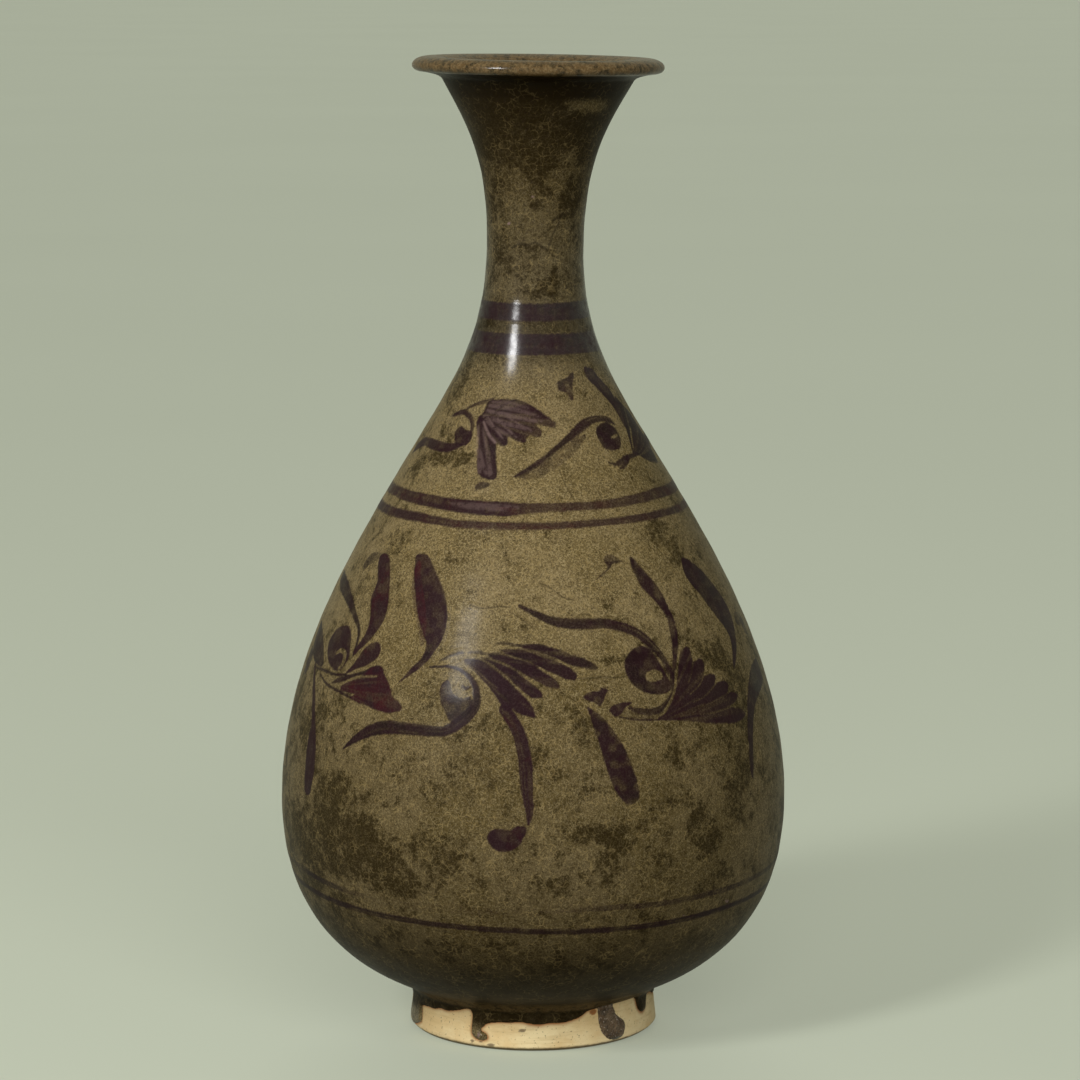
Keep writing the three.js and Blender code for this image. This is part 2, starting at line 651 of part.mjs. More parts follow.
const SHOULDER_LEFT_SPRAY = [
  [[-70, 177.6, 2], [-60, 177.5, 2.2], [-50, 177.4, 2.4], [-43, 178.6, 3], [-38.5, 181, 3], [-37, 184, 2.5],
    [-41, 187, 2], [-47, 187.6, 1.8], [-54.5, 186, 1]],
  [[-39.5, 185, 2], [-25, 190.2, 3], [-12, 190.6, 3], [0, 189, 3], [12.5, 185, 1]],
  [[-39, 184.5, 2.5], [-22, 187.4, 3.5], [-8, 186.8, 3.5], [8, 182.8, 1]],
  [[-33, 186, 2], [-22, 184.8, 3.5], [-10, 183, 3.5], [-1, 180.8, 1.2]],
  [[-30, 186.3, 3], [-24, 179, 4], [-21.5, 174, 4.5], [-18, 170.6, 1.5]],
];
const SHOULDER_RIGHT_SPRAY = [
  [[-8, 171, 1.2], [0, 174, 2], [10, 178.2, 2.2], [20, 181, 2.3], [26, 183, 2.5], [32, 185.4, 2.5],
    [38, 186.4, 2.5], [44, 186, 2.2], [50, 184, 1.5]],
  [[36, 180.5, 3], [41, 181.2, 7], [46, 181, 7.5], [51.5, 179.8, 2]],
];
const SHOULDER_LEAF = [[[42.5, 199.8, 1.5], [47, 197.8, 3], [53, 195, 3.5], [58, 190.5, 2]]];
const SHOULDER_RIGHT_FAN = [
  [[58, 175.6, 2.5], [62, 180, 4.5], [64, 185, 4.5], [66, 189.5, 1.5]],
  [[58, 175.2, 2.5], [66, 177.5, 5.5], [75, 184, 2]],
  [[58, 174.8, 2], [66, 173.8, 3], [74, 172.8, 1.5]],
  [[36.5, 173.2, 1], [44, 173, 1.3], [50, 174.4, 1.5], [59.5, 175.4, 1.5]],
];
const SHOULDER_MARK = [
  [[17, 196, 1], [24, 196.8, 2.5], [30, 197.8, 2.5], [32.5, 198.4, 1]],
  [[28.5, 197.8, 3], [27.3, 194, 2.2], [26, 190.8, 1]],
];

addFoot();
addSection("upper_body", upperStations, neckStations[0], upperStations.slice(1));
addSection("neck", neckStations, mouthStations[0], neckInside);
addMouth();
addLuting("belly_luting", upperStations[0]);
addLuting("neck_luting", neckStations[0]);
addMouthLuting();
addGlaze();
for (const [name, marks] of RUNS) addRun(name, marks);
for (const [name, middle, width] of LINES) addLine(name, middle, width);
addBrushwork("belly_left_spray", BELLY_LEFT_SPRAY);
addBrushwork("belly_left_leaf", BELLY_LEFT_LEAF);
addBrushwork("belly_centre_spray", BELLY_CENTRE_SPRAY);
addBrushwork("belly_centre_blob", [[[-9.4, 72.3, 3], [-5.5, 73, 7], [-1.8, 73.8, 3.2]]]);
addBrushwork("belly_right_tick", [[[19.5, 143, 1.2], [22.5, 146.5, 2], [26, 148.4, 2], [30, 147.6, 1.2]]]);
addBrushwork("belly_right_spray", BELLY_RIGHT_SPRAY);
addBrushwork("belly_right_blob", [[[12, 112, 2], [15, 112.4, 4], [18.5, 112, 2]]]);
addBrushwork("belly_right_hanging_leaf", BELLY_RIGHT_HANGING_LEAF);
addBrushwork("belly_far_leaf", BELLY_FAR_LEAF);
addBrushwork("belly_edge_stroke", BELLY_EDGE_STROKE);
addBrushwork("shoulder_left_spray", SHOULDER_LEFT_SPRAY);
addBrushwork("shoulder_dot", [[[-23, 168, 1.5], [-21, 168.2, 2.2], [-19, 168, 1.5]]]);
addBrushwork("shoulder_right_spray", SHOULDER_RIGHT_SPRAY);
addBrushwork("shoulder_leaf", SHOULDER_LEAF);
addBrushwork("shoulder_right_fan", SHOULDER_RIGHT_FAN);
addBrushwork("shoulder_mark", SHOULDER_MARK);

// The far side carries simpler copies of the same sprays
const BACK_SPRAY = BELLY_RIGHT_SPRAY.filter((marks, order) => ![4, 7].includes(order));
const BACK_SHOULDER_SPRAY = SHOULDER_LEFT_SPRAY.filter((marks, order) => order !== 3);
addBrushwork("back_belly_spray_left", BACK_SPRAY, BACK_RIGHT_TURN);
addBrushwork("back_belly_spray_right", BACK_SPRAY, BACK_LEFT_TURN);
addBrushwork("back_belly_hanging_leaf_left", BELLY_RIGHT_HANGING_LEAF, BACK_RIGHT_TURN);
addBrushwork("back_belly_hanging_leaf_right", BELLY_RIGHT_HANGING_LEAF, BACK_LEFT_TURN);
addBrushwork("back_belly_leaf", BELLY_FAR_LEAF, BACK_LEAF_TURN);
addBrushwork("back_belly_edge_leaf", BELLY_RIGHT_HANGING_LEAF, BACK_EDGE_TURN);
addBrushwork("back_shoulder_spray_left", BACK_SHOULDER_SPRAY, SHOULDER_BACK_RIGHT_TURN);
addBrushwork("back_shoulder_spray_right", BACK_SHOULDER_SPRAY, SHOULDER_BACK_LEFT_TURN);
addBrushwork("back_shoulder_leaf", SHOULDER_LEAF, SHOULDER_LEAF_TURN);

export default vase;
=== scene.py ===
import bpy
import numpy as np
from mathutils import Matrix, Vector

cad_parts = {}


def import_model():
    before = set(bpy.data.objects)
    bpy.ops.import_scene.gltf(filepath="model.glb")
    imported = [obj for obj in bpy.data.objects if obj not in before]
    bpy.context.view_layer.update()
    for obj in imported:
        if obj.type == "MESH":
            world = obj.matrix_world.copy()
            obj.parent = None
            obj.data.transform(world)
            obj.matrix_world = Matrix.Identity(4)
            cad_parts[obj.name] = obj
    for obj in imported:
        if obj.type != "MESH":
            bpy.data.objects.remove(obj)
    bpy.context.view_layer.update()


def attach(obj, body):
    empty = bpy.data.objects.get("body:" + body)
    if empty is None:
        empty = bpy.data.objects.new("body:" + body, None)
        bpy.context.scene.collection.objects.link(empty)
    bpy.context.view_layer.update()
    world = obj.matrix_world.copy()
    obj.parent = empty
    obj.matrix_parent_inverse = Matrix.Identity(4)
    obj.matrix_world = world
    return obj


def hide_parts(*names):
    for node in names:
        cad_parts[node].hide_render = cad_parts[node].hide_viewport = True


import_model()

# The looks of the vase. A finer mesh takes the place of each CAD solid: the coat of glaze, the clay under
# it, the runs on the foot, and each deposit of paint as a thin layer of its own on the glaze.
# Lengths below are in millimetres and angles in degrees from the painted front (-Y), growing towards +X


def smooth(value, low, high):
    share = np.clip((value - low) / (high - low), 0, 1)
    return share * share * (3 - 2 * share)


def turn_from(angle, middle):
    """Angle from a middle, between -180 and 180."""
    return (angle - middle + 180) % 360 - 180


def grain(x, y, seed):
    """Smooth value noise from 0 to 1."""
    table = np.random.default_rng(seed).random((256, 256))
    column = np.floor(x).astype(int)
    row = np.floor(y).astype(int)
    across = smooth(x - column, 0, 1)
    up = smooth(y - row, 0, 1)

    def corner(step, rise):
        return table[(column + step) % 256, (row + rise) % 256]

    low = corner(0, 0) * (1 - across) + corner(1, 0) * across
    high = corner(0, 1) * (1 - across) + corner(1, 1) * across
    return low * (1 - up) + high * up


# Outline of the glaze, the same curves as in the solid part
def reach(start, degrees, length):
    angle = np.radians(degrees)
    return np.array(start) + length * np.array([np.cos(angle), np.sin(angle)])


def bezier(points, steps):
    t = np.linspace(0, 1, steps)[:, None]
    rows = [np.array(point, float) for point in points]
    while len(rows) > 1:
        rows = [(1 - t) * start + t * end for start, end in zip(rows, rows[1:])]
    return rows[0]


def quarter(middle, across, up, start, steps):
    """A quarter of an ellipse."""
    angle = np.linspace(start, start + np.pi / 2, steps)
    return np.column_stack([middle[0] + across * np.cos(angle), middle[1] + up * np.sin(angle)])


def lengths_along(line):
    return np.r_[0, np.cumsum(np.hypot(*np.diff(line, axis=0).T))]


def resample(line, step):
    lengths = lengths_along(line)
    places = np.linspace(0, lengths[-1], max(2, int(round(lengths[-1] / step)) + 1))
    return np.column_stack([np.interp(places, lengths, line[:, axis]) for axis in (0, 1)])


def normals(line):
    along = np.gradient(line, axis=0)
    along /= np.hypot(along[:, 0], along[:, 1])[:, None]
    return np.column_stack([along[:, 1], -along[:, 0]])


FOOT_CORNER = (36, 13.2)
BELLY = (75.5, 70)
SHOULDER = (43.7, 161.3)
WAIST = (14.4, 234.8)
LIP_ROOT = (28.1, 283.5)
LIP_UNDER = (34.6, 285.65)
LIP_CREST = (32.4, 290)
SHOULDER_SLOPE = 120.4
TRUMPET_SLOPE = 61.3
GLAZE = 0.6
BELLY_WALL = 5
NECK_WALL = 3.8
SPAN_STEPS = 300

BELLY_LINE = [FOOT_CORNER, reach(FOOT_CORNER, 18.3, 25.7), reach(BELLY, -90, 31.5), BELLY]
SHOULDER_LINE = [BELLY, reach(BELLY, 90, 37.5), reach(SHOULDER, SHOULDER_SLOPE, -22.9), SHOULDER]
NECK_LINE = [SHOULDER, reach(SHOULDER, SHOULDER_SLOPE, 37.2), reach(WAIST, -90, 29.9), WAIST]
TRUMPET_LINE = [WAIST, reach(WAIST, 90, 27.1), reach(LIP_ROOT, TRUMPET_SLOPE, -12.4), LIP_ROOT]
OUTSIDE = np.concatenate([
    *(bezier(points, SPAN_STEPS)[:-1] for points in (BELLY_LINE, SHOULDER_LINE, NECK_LINE)),
    bezier(TRUMPET_LINE, SPAN_STEPS),
])
OUTSIDE_NORMAL = normals(OUTSIDE)


def wall(height):
    return BELLY_WALL + (NECK_WALL - BELLY_WALL) * smooth(height, BELLY[1], WAIST[1])


def outside(height, outwards=0.0):
    """Radius and height of the point that lies some way outside the glaze's face at a height."""
    radius = np.interp(height, OUTSIDE[:, 1], OUTSIDE[:, 0])
    across = np.interp(height, OUTSIDE[:, 1], OUTSIDE_NORMAL[:, 0])
    up = np.interp(height, OUTSIDE[:, 1], OUTSIDE_NORMAL[:, 1])
    return radius + across * outwards, height + up * outwards


def inset(depth_of, low, high, step):
    """The outside, moved inwards by a depth that changes with height, from one height up to another."""
    heights = resample(OUTSIDE[(OUTSIDE[:, 1] >= low) & (OUTSIDE[:, 1] <= high)], step)[:, 1]
    return np.column_stack(outside(heights, -depth_of(heights)))


def throat_depth(height):
    """Two coats of glaze and the clay between them."""
    return 2 * GLAZE + wall(height)


def wobble(angle, height):
    """How far the hand-thrown face lies inside the true outline: fine rings and wide waves."""
    turn = np.radians(angle)
    rings = 0.035 * (1 + np.sin(height * 0.55 + 0.8 * np.sin(turn)))
    waves = 0.05 * (1 + np.sin(2 * turn + height * 0.045)) + 0.03 * (1 + np.sin(5 * turn - height * 0.11))
    return (rings + waves) * smooth(height, 15, 30) * (1 - smooth(height, 255, 275))


LEAN_START = 185
LEAN = 0.0175
LEAN_EASE = 15
RIM_DIP = 0.5
RIM_DIP_HEIGHTS = (252, 288)
RIM_RADIUS = 36.95


def place(angle, radius, height):
    """Puts points round the axis, which leans above the shoulder. The rim dips a little to the right."""
    turn = np.radians(angle)
    rise = np.maximum(0, height - LEAN_START)
    across = radius * np.sin(turn)
    dip = RIM_DIP * smooth(height, *RIM_DIP_HEIGHTS) * (1 + across / RIM_RADIUS)
    x = across + LEAN * rise * rise / (rise + LEAN_EASE)
    return np.stack(np.broadcast_arrays(x, -radius * np.cos(turn), height - dip), axis=-1)


def on_glaze(angle, height, outwards):
    radius, raised = outside(height, outwards - wobble(angle, height))
    return place(angle, radius, raised)


# Where the glaze is darker: angle, height, half width, half height, strength
BLOTCHES = [
    (-44, 65, 17, 14, 0.85), (-50, 75, 12, 13.4, 0.75), (-48, 81, 5, 8.6, 0.7), (-64, 60, 14, 17.6, 0.75),
    (-22, 66, 8, 10, 0.65), (-30, 58, 14, 5.5, 0.65), (-16, 71, 3, 5.8, 0.5), (-42, 89, 3, 3.6, 0.45),
    (34, 94, 4, 6.6, 0.75), (35, 81, 6, 3.4, 0.65), (27, 79, 4, 2.9, 0.5), (15, 74, 7, 3.1, 0.95),
    (19, 70, 4, 3.2, 0.95), (24, 76, 3, 2.2, 0.7), (31, 73, 3, 2.9, 0.55), (41, 71, 7, 12.9, 0.66),
    (48, 79, 8, 12.6, 0.52), (56, 86, 5, 10, 0.55), (8, 61, 14, 6, 0.55), (15, 62, 5, 2.6, 0.65),
    (6, 65, 3, 2.2, 0.55), (18, 64, 3, 3, 0.6), (-11, 70, 3, 4.5, 0.35), (-22, 38, 8, 4.2, 0.7),
    (-7, 41, 5, 2.6, 0.6), (10, 33, 16, 4, 0.6), (-36, 43, 8, 3.1, 0.5), (16, 41, 6, 2.6, 0.5),
    (26, 44, 8, 2.6, 0.4), (-16, 32, 8, 3, 0.5), (36, 50, 8, 3.2, 0.3), (50, 154, 14, 5.1, 0.55),
    (62, 147, 14, 4.9, 0.5), (58, 135, 12, 5, 0.5), (41, 133, 6, 2, 0.45), (26, 122, 13, 1.5, 0.8),
    (48, 117, 16, 2.4, 0.7), (53, 122, 11, 5, 0.6), (80, 100, 9, 26, 0.55), (40, 125, 14, 1.9, 0.6),
    (58, 106, 6, 14.8, 0.65), (19, 137, 8, 1.5, 0.4), (12, 103, 4, 5.9, 0.7), (38, 95, 4, 5.4, 0.5),
    (6, 106, 3, 3.8, 0.4), (-34, 119, 13, 1.5, 0.45), (-44, 108, 3, 4.8, 0.35), (-62, 105, 8, 7.8, 0.4),
    (-50, 175, 36, 3.4, 0.66), (-62, 171, 18, 5, 0.55), (-52, 181, 14, 5, 0.5), (-68, 192, 27, 4.9, 0.5),
    (2, 178, 15, 2.1, 0.4), (42, 186, 16, 5.4, 0.3), (63, 170, 14, 3.4, 0.35), (-62, 149, 14, 3, 0.3),
    (12, 252, 8, 2.1, 0.9), (2, 247, 12, 3.1, 0.65), (46, 250, 22, 7.6, 0.8), (58, 263, 28, 7.2, 0.6),
    (-50, 232, 16, 3.1, 0.7), (-38, 238, 10, 1.8, 0.5), (-6, 235, 18, 1.5, 0.7), (13, 223, 21, 2.9, 0.8),
    (-16, 222, 14, 1.8, 0.6), (22, 228, 7, 2.9, 0.6), (-70, 248, 19, 17.8, 0.55), (35, 244, 13, 1.5, 0.7),
    (-66, 222, 21, 4.6, 0.5), (88, 233, 15, 8.9, 0.5), (-52, 260, 19, 3.6, 0.5), (-66, 203, 22, 2.1, 0.4),
    (44, 199, 15, 2.2, 0.3), (84, 60, 12, 16, 0.6), (-90, 84, 10, 18, 0.5), (118, 84, 16, 10, 0.8),
    (104, 62, 14, 12, 0.7), (136, 104, 8, 6, 0.6), (150, 74, 12, 14, 0.75), (162, 130, 12, 4, 0.6),
    (178, 90, 8, 10, 0.6), (196, 64, 16, 12, 0.85), (210, 78, 12, 8, 0.7), (228, 104, 10, 12, 0.6),
    (240, 60, 12, 10, 0.6), (250, 150, 14, 6, 0.5), (132, 152, 12, 5, 0.5), (190, 150, 14, 3, 0.45),
    (215, 120, 12, 2, 0.6), (150, 40, 12, 4, 0.6), (200, 36, 14, 5, 0.6), (110, 184, 16, 5, 0.4),
    (160, 176, 20, 3, 0.45), (220, 186, 18, 5, 0.4), (130, 244, 20, 6, 0.7), (175, 236, 16, 3, 0.6),
    (205, 250, 20, 5, 0.7), (240, 228, 16, 4, 0.6), (150, 224, 14, 3, 0.6),
]
# How dark and brown the glaze gets on its way up the vase. Under the belly the darkening is partly brown
# glaze and partly painted shade
BROWN_AND_SHADE_BY_HEIGHT = [
    (14, 0.97), (24, 0.92), (34, 0.8), (48, 0.53), (62, 0.43), (80, 0.36), (95, 0.3), (120, 0.12),
    (140, 0.02), (175, 0.02), (195, 0.16), (203, 0.6), (212, 0.8), (222, 0.56), (245, 0.6), (262, 0.64),
    (280, 0.9), (290, 0.9),
]


def spot(angle, height, middle, level, width, tall, rim, core):
    """An oval that fades out from its core to its rim, both in shares of its half sizes."""
    return smooth(np.hypot(turn_from(angle, middle) / width, (height - level) / tall), rim, core)


def worn_place(angle, height):
    """The pale patch under the lip, right of the front."""
    return spot(angle, height, 40, 277, 22, 3.2, 1.3, 0.5)


def stains_and_side_shade(angle, height):
    total = 0.17 + 0.14 * (1 - smooth(height, 90, 125)) + 0.17 * smooth(height, 198, 210)
    # Painted shade: darker towards the left and right sides
    total += 0.08 * smooth(np.abs(turn_from(angle, 80)), 40, 15)
    total += 0.2 * smooth(np.abs(turn_from(angle, -78)), 45, 15)
    for middle, level, width, tall, strength in BLOTCHES:
        total = np.maximum(total, strength * spot(angle, height, middle, level, width, tall, 1.4, 0.45))
    ragged_top = 256 - 5 * smooth(np.abs(angle + 2), 20, 4) + 5 * smooth(np.abs(angle - 32), 16, 4)
    neck_top = 0.9 * smooth(height - ragged_top, -3, 6)
    return np.maximum(total, neck_top) - 0.55 * worn_place(angle, height)


def brown_and_shade(angle, height):
    """Brown-black glaze on the neck and under the lip, darker under the belly, partly as painted shade, and
    painted shade on the right flank.
    """
    level = np.interp(height, *np.transpose(BROWN_AND_SHADE_BY_HEIGHT)) * (1 - 0.45 * worn_place(angle, height))
    # Painted shade: the right flank of the belly is made darker
    painted_flank_shade = smooth(np.abs(turn_from(angle, 86)), 30, 8)
    painted_flank_shade = 0.18 * painted_flank_shade * smooth(height, 20, 40) * (1 - smooth(height, 150, 180))
    return level + (1 - level) * painted_flank_shade


def shine(height):
    """How much the glaze shines: most round the painted lines of the neck, and on the lip."""
    neck = smooth(height, 188, 206) * (1 - smooth(height, 224, 258))
    return 0.08 * smooth(height, 40, 70) + 0.66 * neck + 0.4 * smooth(height, 284, 286)


def glaze_fields(angle, height):
    angle, height = np.broadcast_arrays(angle, height)
    return {"dark": stains_and_side_shade(angle, height), "brown_and_shade": brown_and_shade(angle, height), "gloss": shine(height)}


# Meshes
MM = 0.001


def add_object(name, data):
    made = bpy.data.objects.new(name, data)
    bpy.context.scene.collection.objects.link(made)
    return made


def solid_piece(name, points, faces, material, fields=None):
    mesh = bpy.data.meshes.new(name)
    mesh.from_pydata((np.asarray(points) * MM).tolist(), [], np.asarray(faces).tolist())
    mesh.polygons.foreach_set("use_smooth", [True] * len(mesh.polygons))
    for field, values in (fields or {}).items():
        layer = mesh.attributes.new(field, "FLOAT", "POINT")
        layer.data.foreach_set("value", np.asarray(values, np.float32).ravel())
    mesh.materials.append(material)
    mesh.update()
    return add_object(name, mesh)


def keep(piece, slot, *nodes):
    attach(piece, "root")
    if nodes:
        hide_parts(*nodes)


def turned_grid(section, columns):
    """Angle, radius and height of a section's points, all the way round."""
    angles = np.linspace(-180, 180, columns, endpoint=False)
    return np.broadcast_arrays(angles[:, None], section[:, 0], section[:, 1])


def turned_faces(columns, rows):
    """Faces of a section that is closed in itself and turned all the way round."""
    column, row = np.meshgrid(np.arange(columns), np.arange(rows), indexing="ij")
    here = column * rows
    right = (column + 1) % columns * rows
    up = (row + 1) % rows
    return np.stack([here + row, right + row, right + up, here + up], -1).reshape(-1, 4)


def turned(name, section, material, columns=128, ripple=0.0, fields=None):
    """A closed section, up its outside and down its inside, turned round the axis."""
    section = np.array(section, float)
    angle, radius, height = turned_grid(section, columns)
    radius = radius - ripple * (1 + np.sin(height * 3.1 + np.radians(angle)))
    points = place(angle, radius, height).reshape(-1, 3)
    values = fields(angle, radius, height) if fields else None
    return solid_piece(name, points, turned_faces(columns, len(section)), material, values)


def join_corners(wanted):
    """Fills cells in until no two of them touch at a corner only, which would pinch the mesh."""
    while True:
        right = np.roll(wanted, -1, 0)
        above = np.roll(wanted, -1, 1)
        corner = np.roll(right, -1, 1)
        rising = wanted & corner & ~right & ~above
        falling = right & above & ~wanted & ~corner
        if not (rising.any() or falling.any()):
            return wanted
        wanted = wanted | falling | np.roll(rising, 1, 0)


def patch(name, angles, heights, covered, top, base, face, material, fields, ring=False):
    """A thin closed layer on a face, over the cells of a grid that are covered at all four corners."""
    wanted = covered & np.roll(covered, -1, 0)
    wanted &= np.roll(wanted, -1, 1)
    if not ring:
        wanted[[0, -1]] = False
    wanted[:, [0, -1]] = False
    wanted = join_corners(wanted)
    columns, rows = wanted.shape
    angle, height = np.meshgrid(angles, heights, indexing="ij")
    layers = [face(angle, height, depth).reshape(-1, 3) for depth in (top, base)]
    number = np.arange(wanted.size).reshape(wanted.shape)
    i, j = np.nonzero(wanted)
    left, right = (i - 1) % columns, (i + 1) % columns
    corners = number[i, j], number[right, j], number[right, j + 1], number[i, j + 1]
    neighbours = (i, j - 1), (right, j), (i, (j + 1) % rows), (left, j)
    shift = wanted.size
    faces = [np.stack(corners, 1), np.stack(corners[::-1], 1) + shift]
    for side, cell in enumerate(neighbours):
        free = ~wanted[cell]
        start, end = corners[side][free], corners[(side + 1) % 4][free]
        faces.append(np.stack([start, start + shift, end + shift, end], 1))
    used, faces = np.unique(np.concatenate(faces), return_inverse=True)
    points = np.concatenate(layers)[used]
    values = {key: np.tile(value.ravel(), 2)[used] for key, value in fields.items()}
    return solid_piece(name, points, faces.reshape(-1, 4), material, values)


# Materials
def rgb(red, green, blue):
    shares = [value / 255 for value in (red, green, blue)]
    return tuple(s / 12.92 if s <= 0.04045 else ((s + 0.055) / 1.055) ** 2.4 for s in shares) + (1,)


class Material:
    def __init__(self, name, roughness, specular=0.5):
        self.material = bpy.data.materials.new(name)
        self.material.use_nodes = True
        self.nodes = self.material.node_tree.nodes
        self.shader = self.nodes["Principled BSDF"]
        self.shader.inputs["Roughness"].default_value = roughness
        self.shader.inputs["Specular IOR Level"].default_value = specular
        self.place = self.add("ShaderNodeTexCoord").outputs["Object"]

    def put(self, socket, value):
        if isinstance(value, bpy.types.NodeSocket):
            self.material.node_tree.links.new(value, socket)
        else:
            socket.default_value = value

    def add(self, kind, inputs=None, **settings):
        node = self.nodes.new(kind)
        for key, value in settings.items():
            setattr(node, key, value)
        for key, value in (inputs or {}).items():
            self.put(node.inputs[key], value)
        return node

    def noise(self, scale, detail=2, roughness=0.5, stretch=None, distortion=0.0):
        place = self.place
        if stretch:
            place = self.add("ShaderNodeMapping", {"Vector": place, "Scale": stretch}).outputs[0]
        values = {"Vector": place, "Scale": scale, "Detail": detail, "Roughness": roughness}
        return self.add("ShaderNodeTexNoise", {**values, "Distortion": distortion}).outputs[0]

    def field(self, name):
        return self.add("ShaderNodeAttribute", attribute_name=name).outputs["Fac"]

    def math(self, operation, first, second=0.0, clamp=False):
        node = self.add("ShaderNodeMath", {0: first, 1: second}, operation=operation)
        node.use_clamp = clamp
        return node.outputs[0]

    def swung(self, value, noise, amount):
        """A value that a noise raises and lowers."""
        return self.math("ADD", value, self.math("MULTIPLY", self.math("SUBTRACT", noise, 0.5), amount))

    def less(self, value, other, share):
        """A value that fades where another is high."""
        kept = self.math("SUBTRACT", 1.0, self.math("MULTIPLY", other, share))
        return self.math("MULTIPLY", value, kept)

    def rise(self, value, low, high, top=1.0):
        inputs = {"Value": value, "From Min": low, "From Max": high, "To Min": 0.0, "To Max": top}
        return self.add("ShaderNodeMapRange", inputs, interpolation_type="SMOOTHSTEP").outputs[0]

    def mix(self, share, first, second):
        return self.add("ShaderNodeMix", {0: share, 6: first, 7: second}, data_type="RGBA").outputs[2]

    def bump(self, height, distance, strength=0.6, under=None):
        inputs = {"Height": height, "Distance": distance, "Strength": strength}
        if under:
            inputs["Normal"] = under
        return self.add("ShaderNodeBump", inputs).outputs[0]

    def finish(self, colour, bump=None, roughness=None):
        for name, value in (("Base Color", colour), ("Normal", bump), ("Roughness", roughness)):
            if value:
                self.put(self.shader.inputs[name], value)
        return self.material


def glaze_material():
    """One glaze for the coat and the painting. The fields of each mesh say what lies where."""
    m = Material("olive_brown_glaze", 0.45, 0.045)
    patchy = m.noise(120, 7, 0.72, distortion=0.5)
    ragged = m.noise(430, 6, 0.75)
    fleck = m.noise(1500, 3, 0.7)
    # Olive ground with brown stains, light crackle and dark specks
    colour = m.mix(m.rise(m.noise(26, 4, 0.6), 0.35, 0.65), rgb(106, 90, 54), rgb(126, 109, 75))
    colour = m.mix(m.rise(patchy, 0.42, 0.62, 0.5), colour, rgb(86, 72, 41))
    stain = m.swung(m.swung(m.field("dark"), patchy, 2.2), ragged, 1.9)
    stained = m.rise(stain, 0.3, 0.78, 0.92)
    colour = m.mix(stained, colour, rgb(48, 38, 15))
    crackle = m.math("ABSOLUTE", m.math("SUBTRACT", m.noise(950, 2, 0.6), 0.5))
    light = m.less(m.rise(crackle, 0.05, 0.0, 0.8), stained, 0.72)
    colour = m.mix(light, colour, rgb(162, 144, 104))
    dim = m.rise(m.noise(2100, 3, 0.7), 0.5, 0.62, 0.6)
    colour = m.mix(dim, colour, rgb(48, 38, 17))
    # Brown-black glaze, and painted shade under the belly, under the lip and on the right flank
    colour = m.mix(m.field("brown_and_shade"), colour, rgb(28, 19, 4))
    # Pale veins along the edges of bent cells
    swirl = m.add("ShaderNodeTexNoise", {"Vector": m.place, "Scale": 520, "Detail": 3}).outputs["Color"]
    bent = {0: swirl, 1: (0.0017, 0.0017, 0.0017), 2: m.place}
    bent = m.add("ShaderNodeVectorMath", bent, operation="MULTIPLY_ADD").outputs[0]
    cells = m.add("ShaderNodeTexVoronoi", {"Vector": bent, "Scale": 480}, feature="DISTANCE_TO_EDGE")
    vein = m.math("SUBTRACT", 1.0, m.rise(cells.outputs["Distance"], 0.0, 0.09))
    vein = m.math("MULTIPLY", vein, m.rise(m.noise(230, 4, 0.7), 0.42, 0.62, 0.5))
    vein = m.less(m.less(vein, m.field("brown_and_shade"), 0.6), stained, 0.4)
    colour = m.mix(vein, colour, rgb(160, 138, 92))
    # Worn tan glaze on the lip, and a tan painted reflection in the cove at the glaze's lower edge
    tan_wear_and_reflection = m.math("MULTIPLY", m.field("tan_wear_and_reflection"), m.rise(ragged, 0.36, 0.56, 0.95))
    colour = m.mix(tan_wear_and_reflection, colour, m.mix(m.rise(fleck, 0.45, 0.62), rgb(98, 76, 46), rgb(136, 114, 78)))
    # Iron paint: black-purple where it is thick, redder where the tone is high
    tone = m.swung(m.field("tone"), patchy, 1.2)
    paint = m.mix(m.rise(tone, 0.15, 0.55), rgb(25, 12, 14), rgb(38, 19, 24))
    paint = m.mix(m.rise(tone, 0.65, 1.05), paint, rgb(58, 17, 24))
    paint = m.mix(m.math("MULTIPLY", light, 0.14), paint, rgb(100, 80, 80))
    paint = m.mix(m.math("MULTIPLY", dim, 0.35), paint, rgb(24, 13, 13))
    thin = m.math("SUBTRACT", 1.02, m.field("pigment"))
    broken = m.math("MULTIPLY", m.math("SUBTRACT", fleck, 0.5), thin)
    covered = m.math("ADD", m.field("pigment"), m.math("MULTIPLY", broken, 2.0), clamp=True)
    colour = m.mix(covered, colour, paint)
    # Pale marks: painted highlights, and a few real chips
    pale_wear_and_highlight = m.math("MULTIPLY", m.field("pale_wear_and_highlight"), m.rise(ragged, 0.35, 0.55))
    colour = m.mix(pale_wear_and_highlight, colour, rgb(122, 100, 94))
    colour = m.mix(m.field("crack"), colour, rgb(30, 21, 9))
    bump = m.bump(ragged, 0.00008, under=m.bump(m.noise(160, 3, 0.5), 0.00012))
    m.put(m.shader.inputs["Coat Weight"], m.math("MULTIPLY", m.field("gloss"), m.rise(stain, 1.3, -0.2)))
    m.shader.inputs["Coat Roughness"].default_value = 0.17
    return m.finish(colour, bump, m.math("ADD", 0.36, m.math("MULTIPLY", patchy, 0.22)))


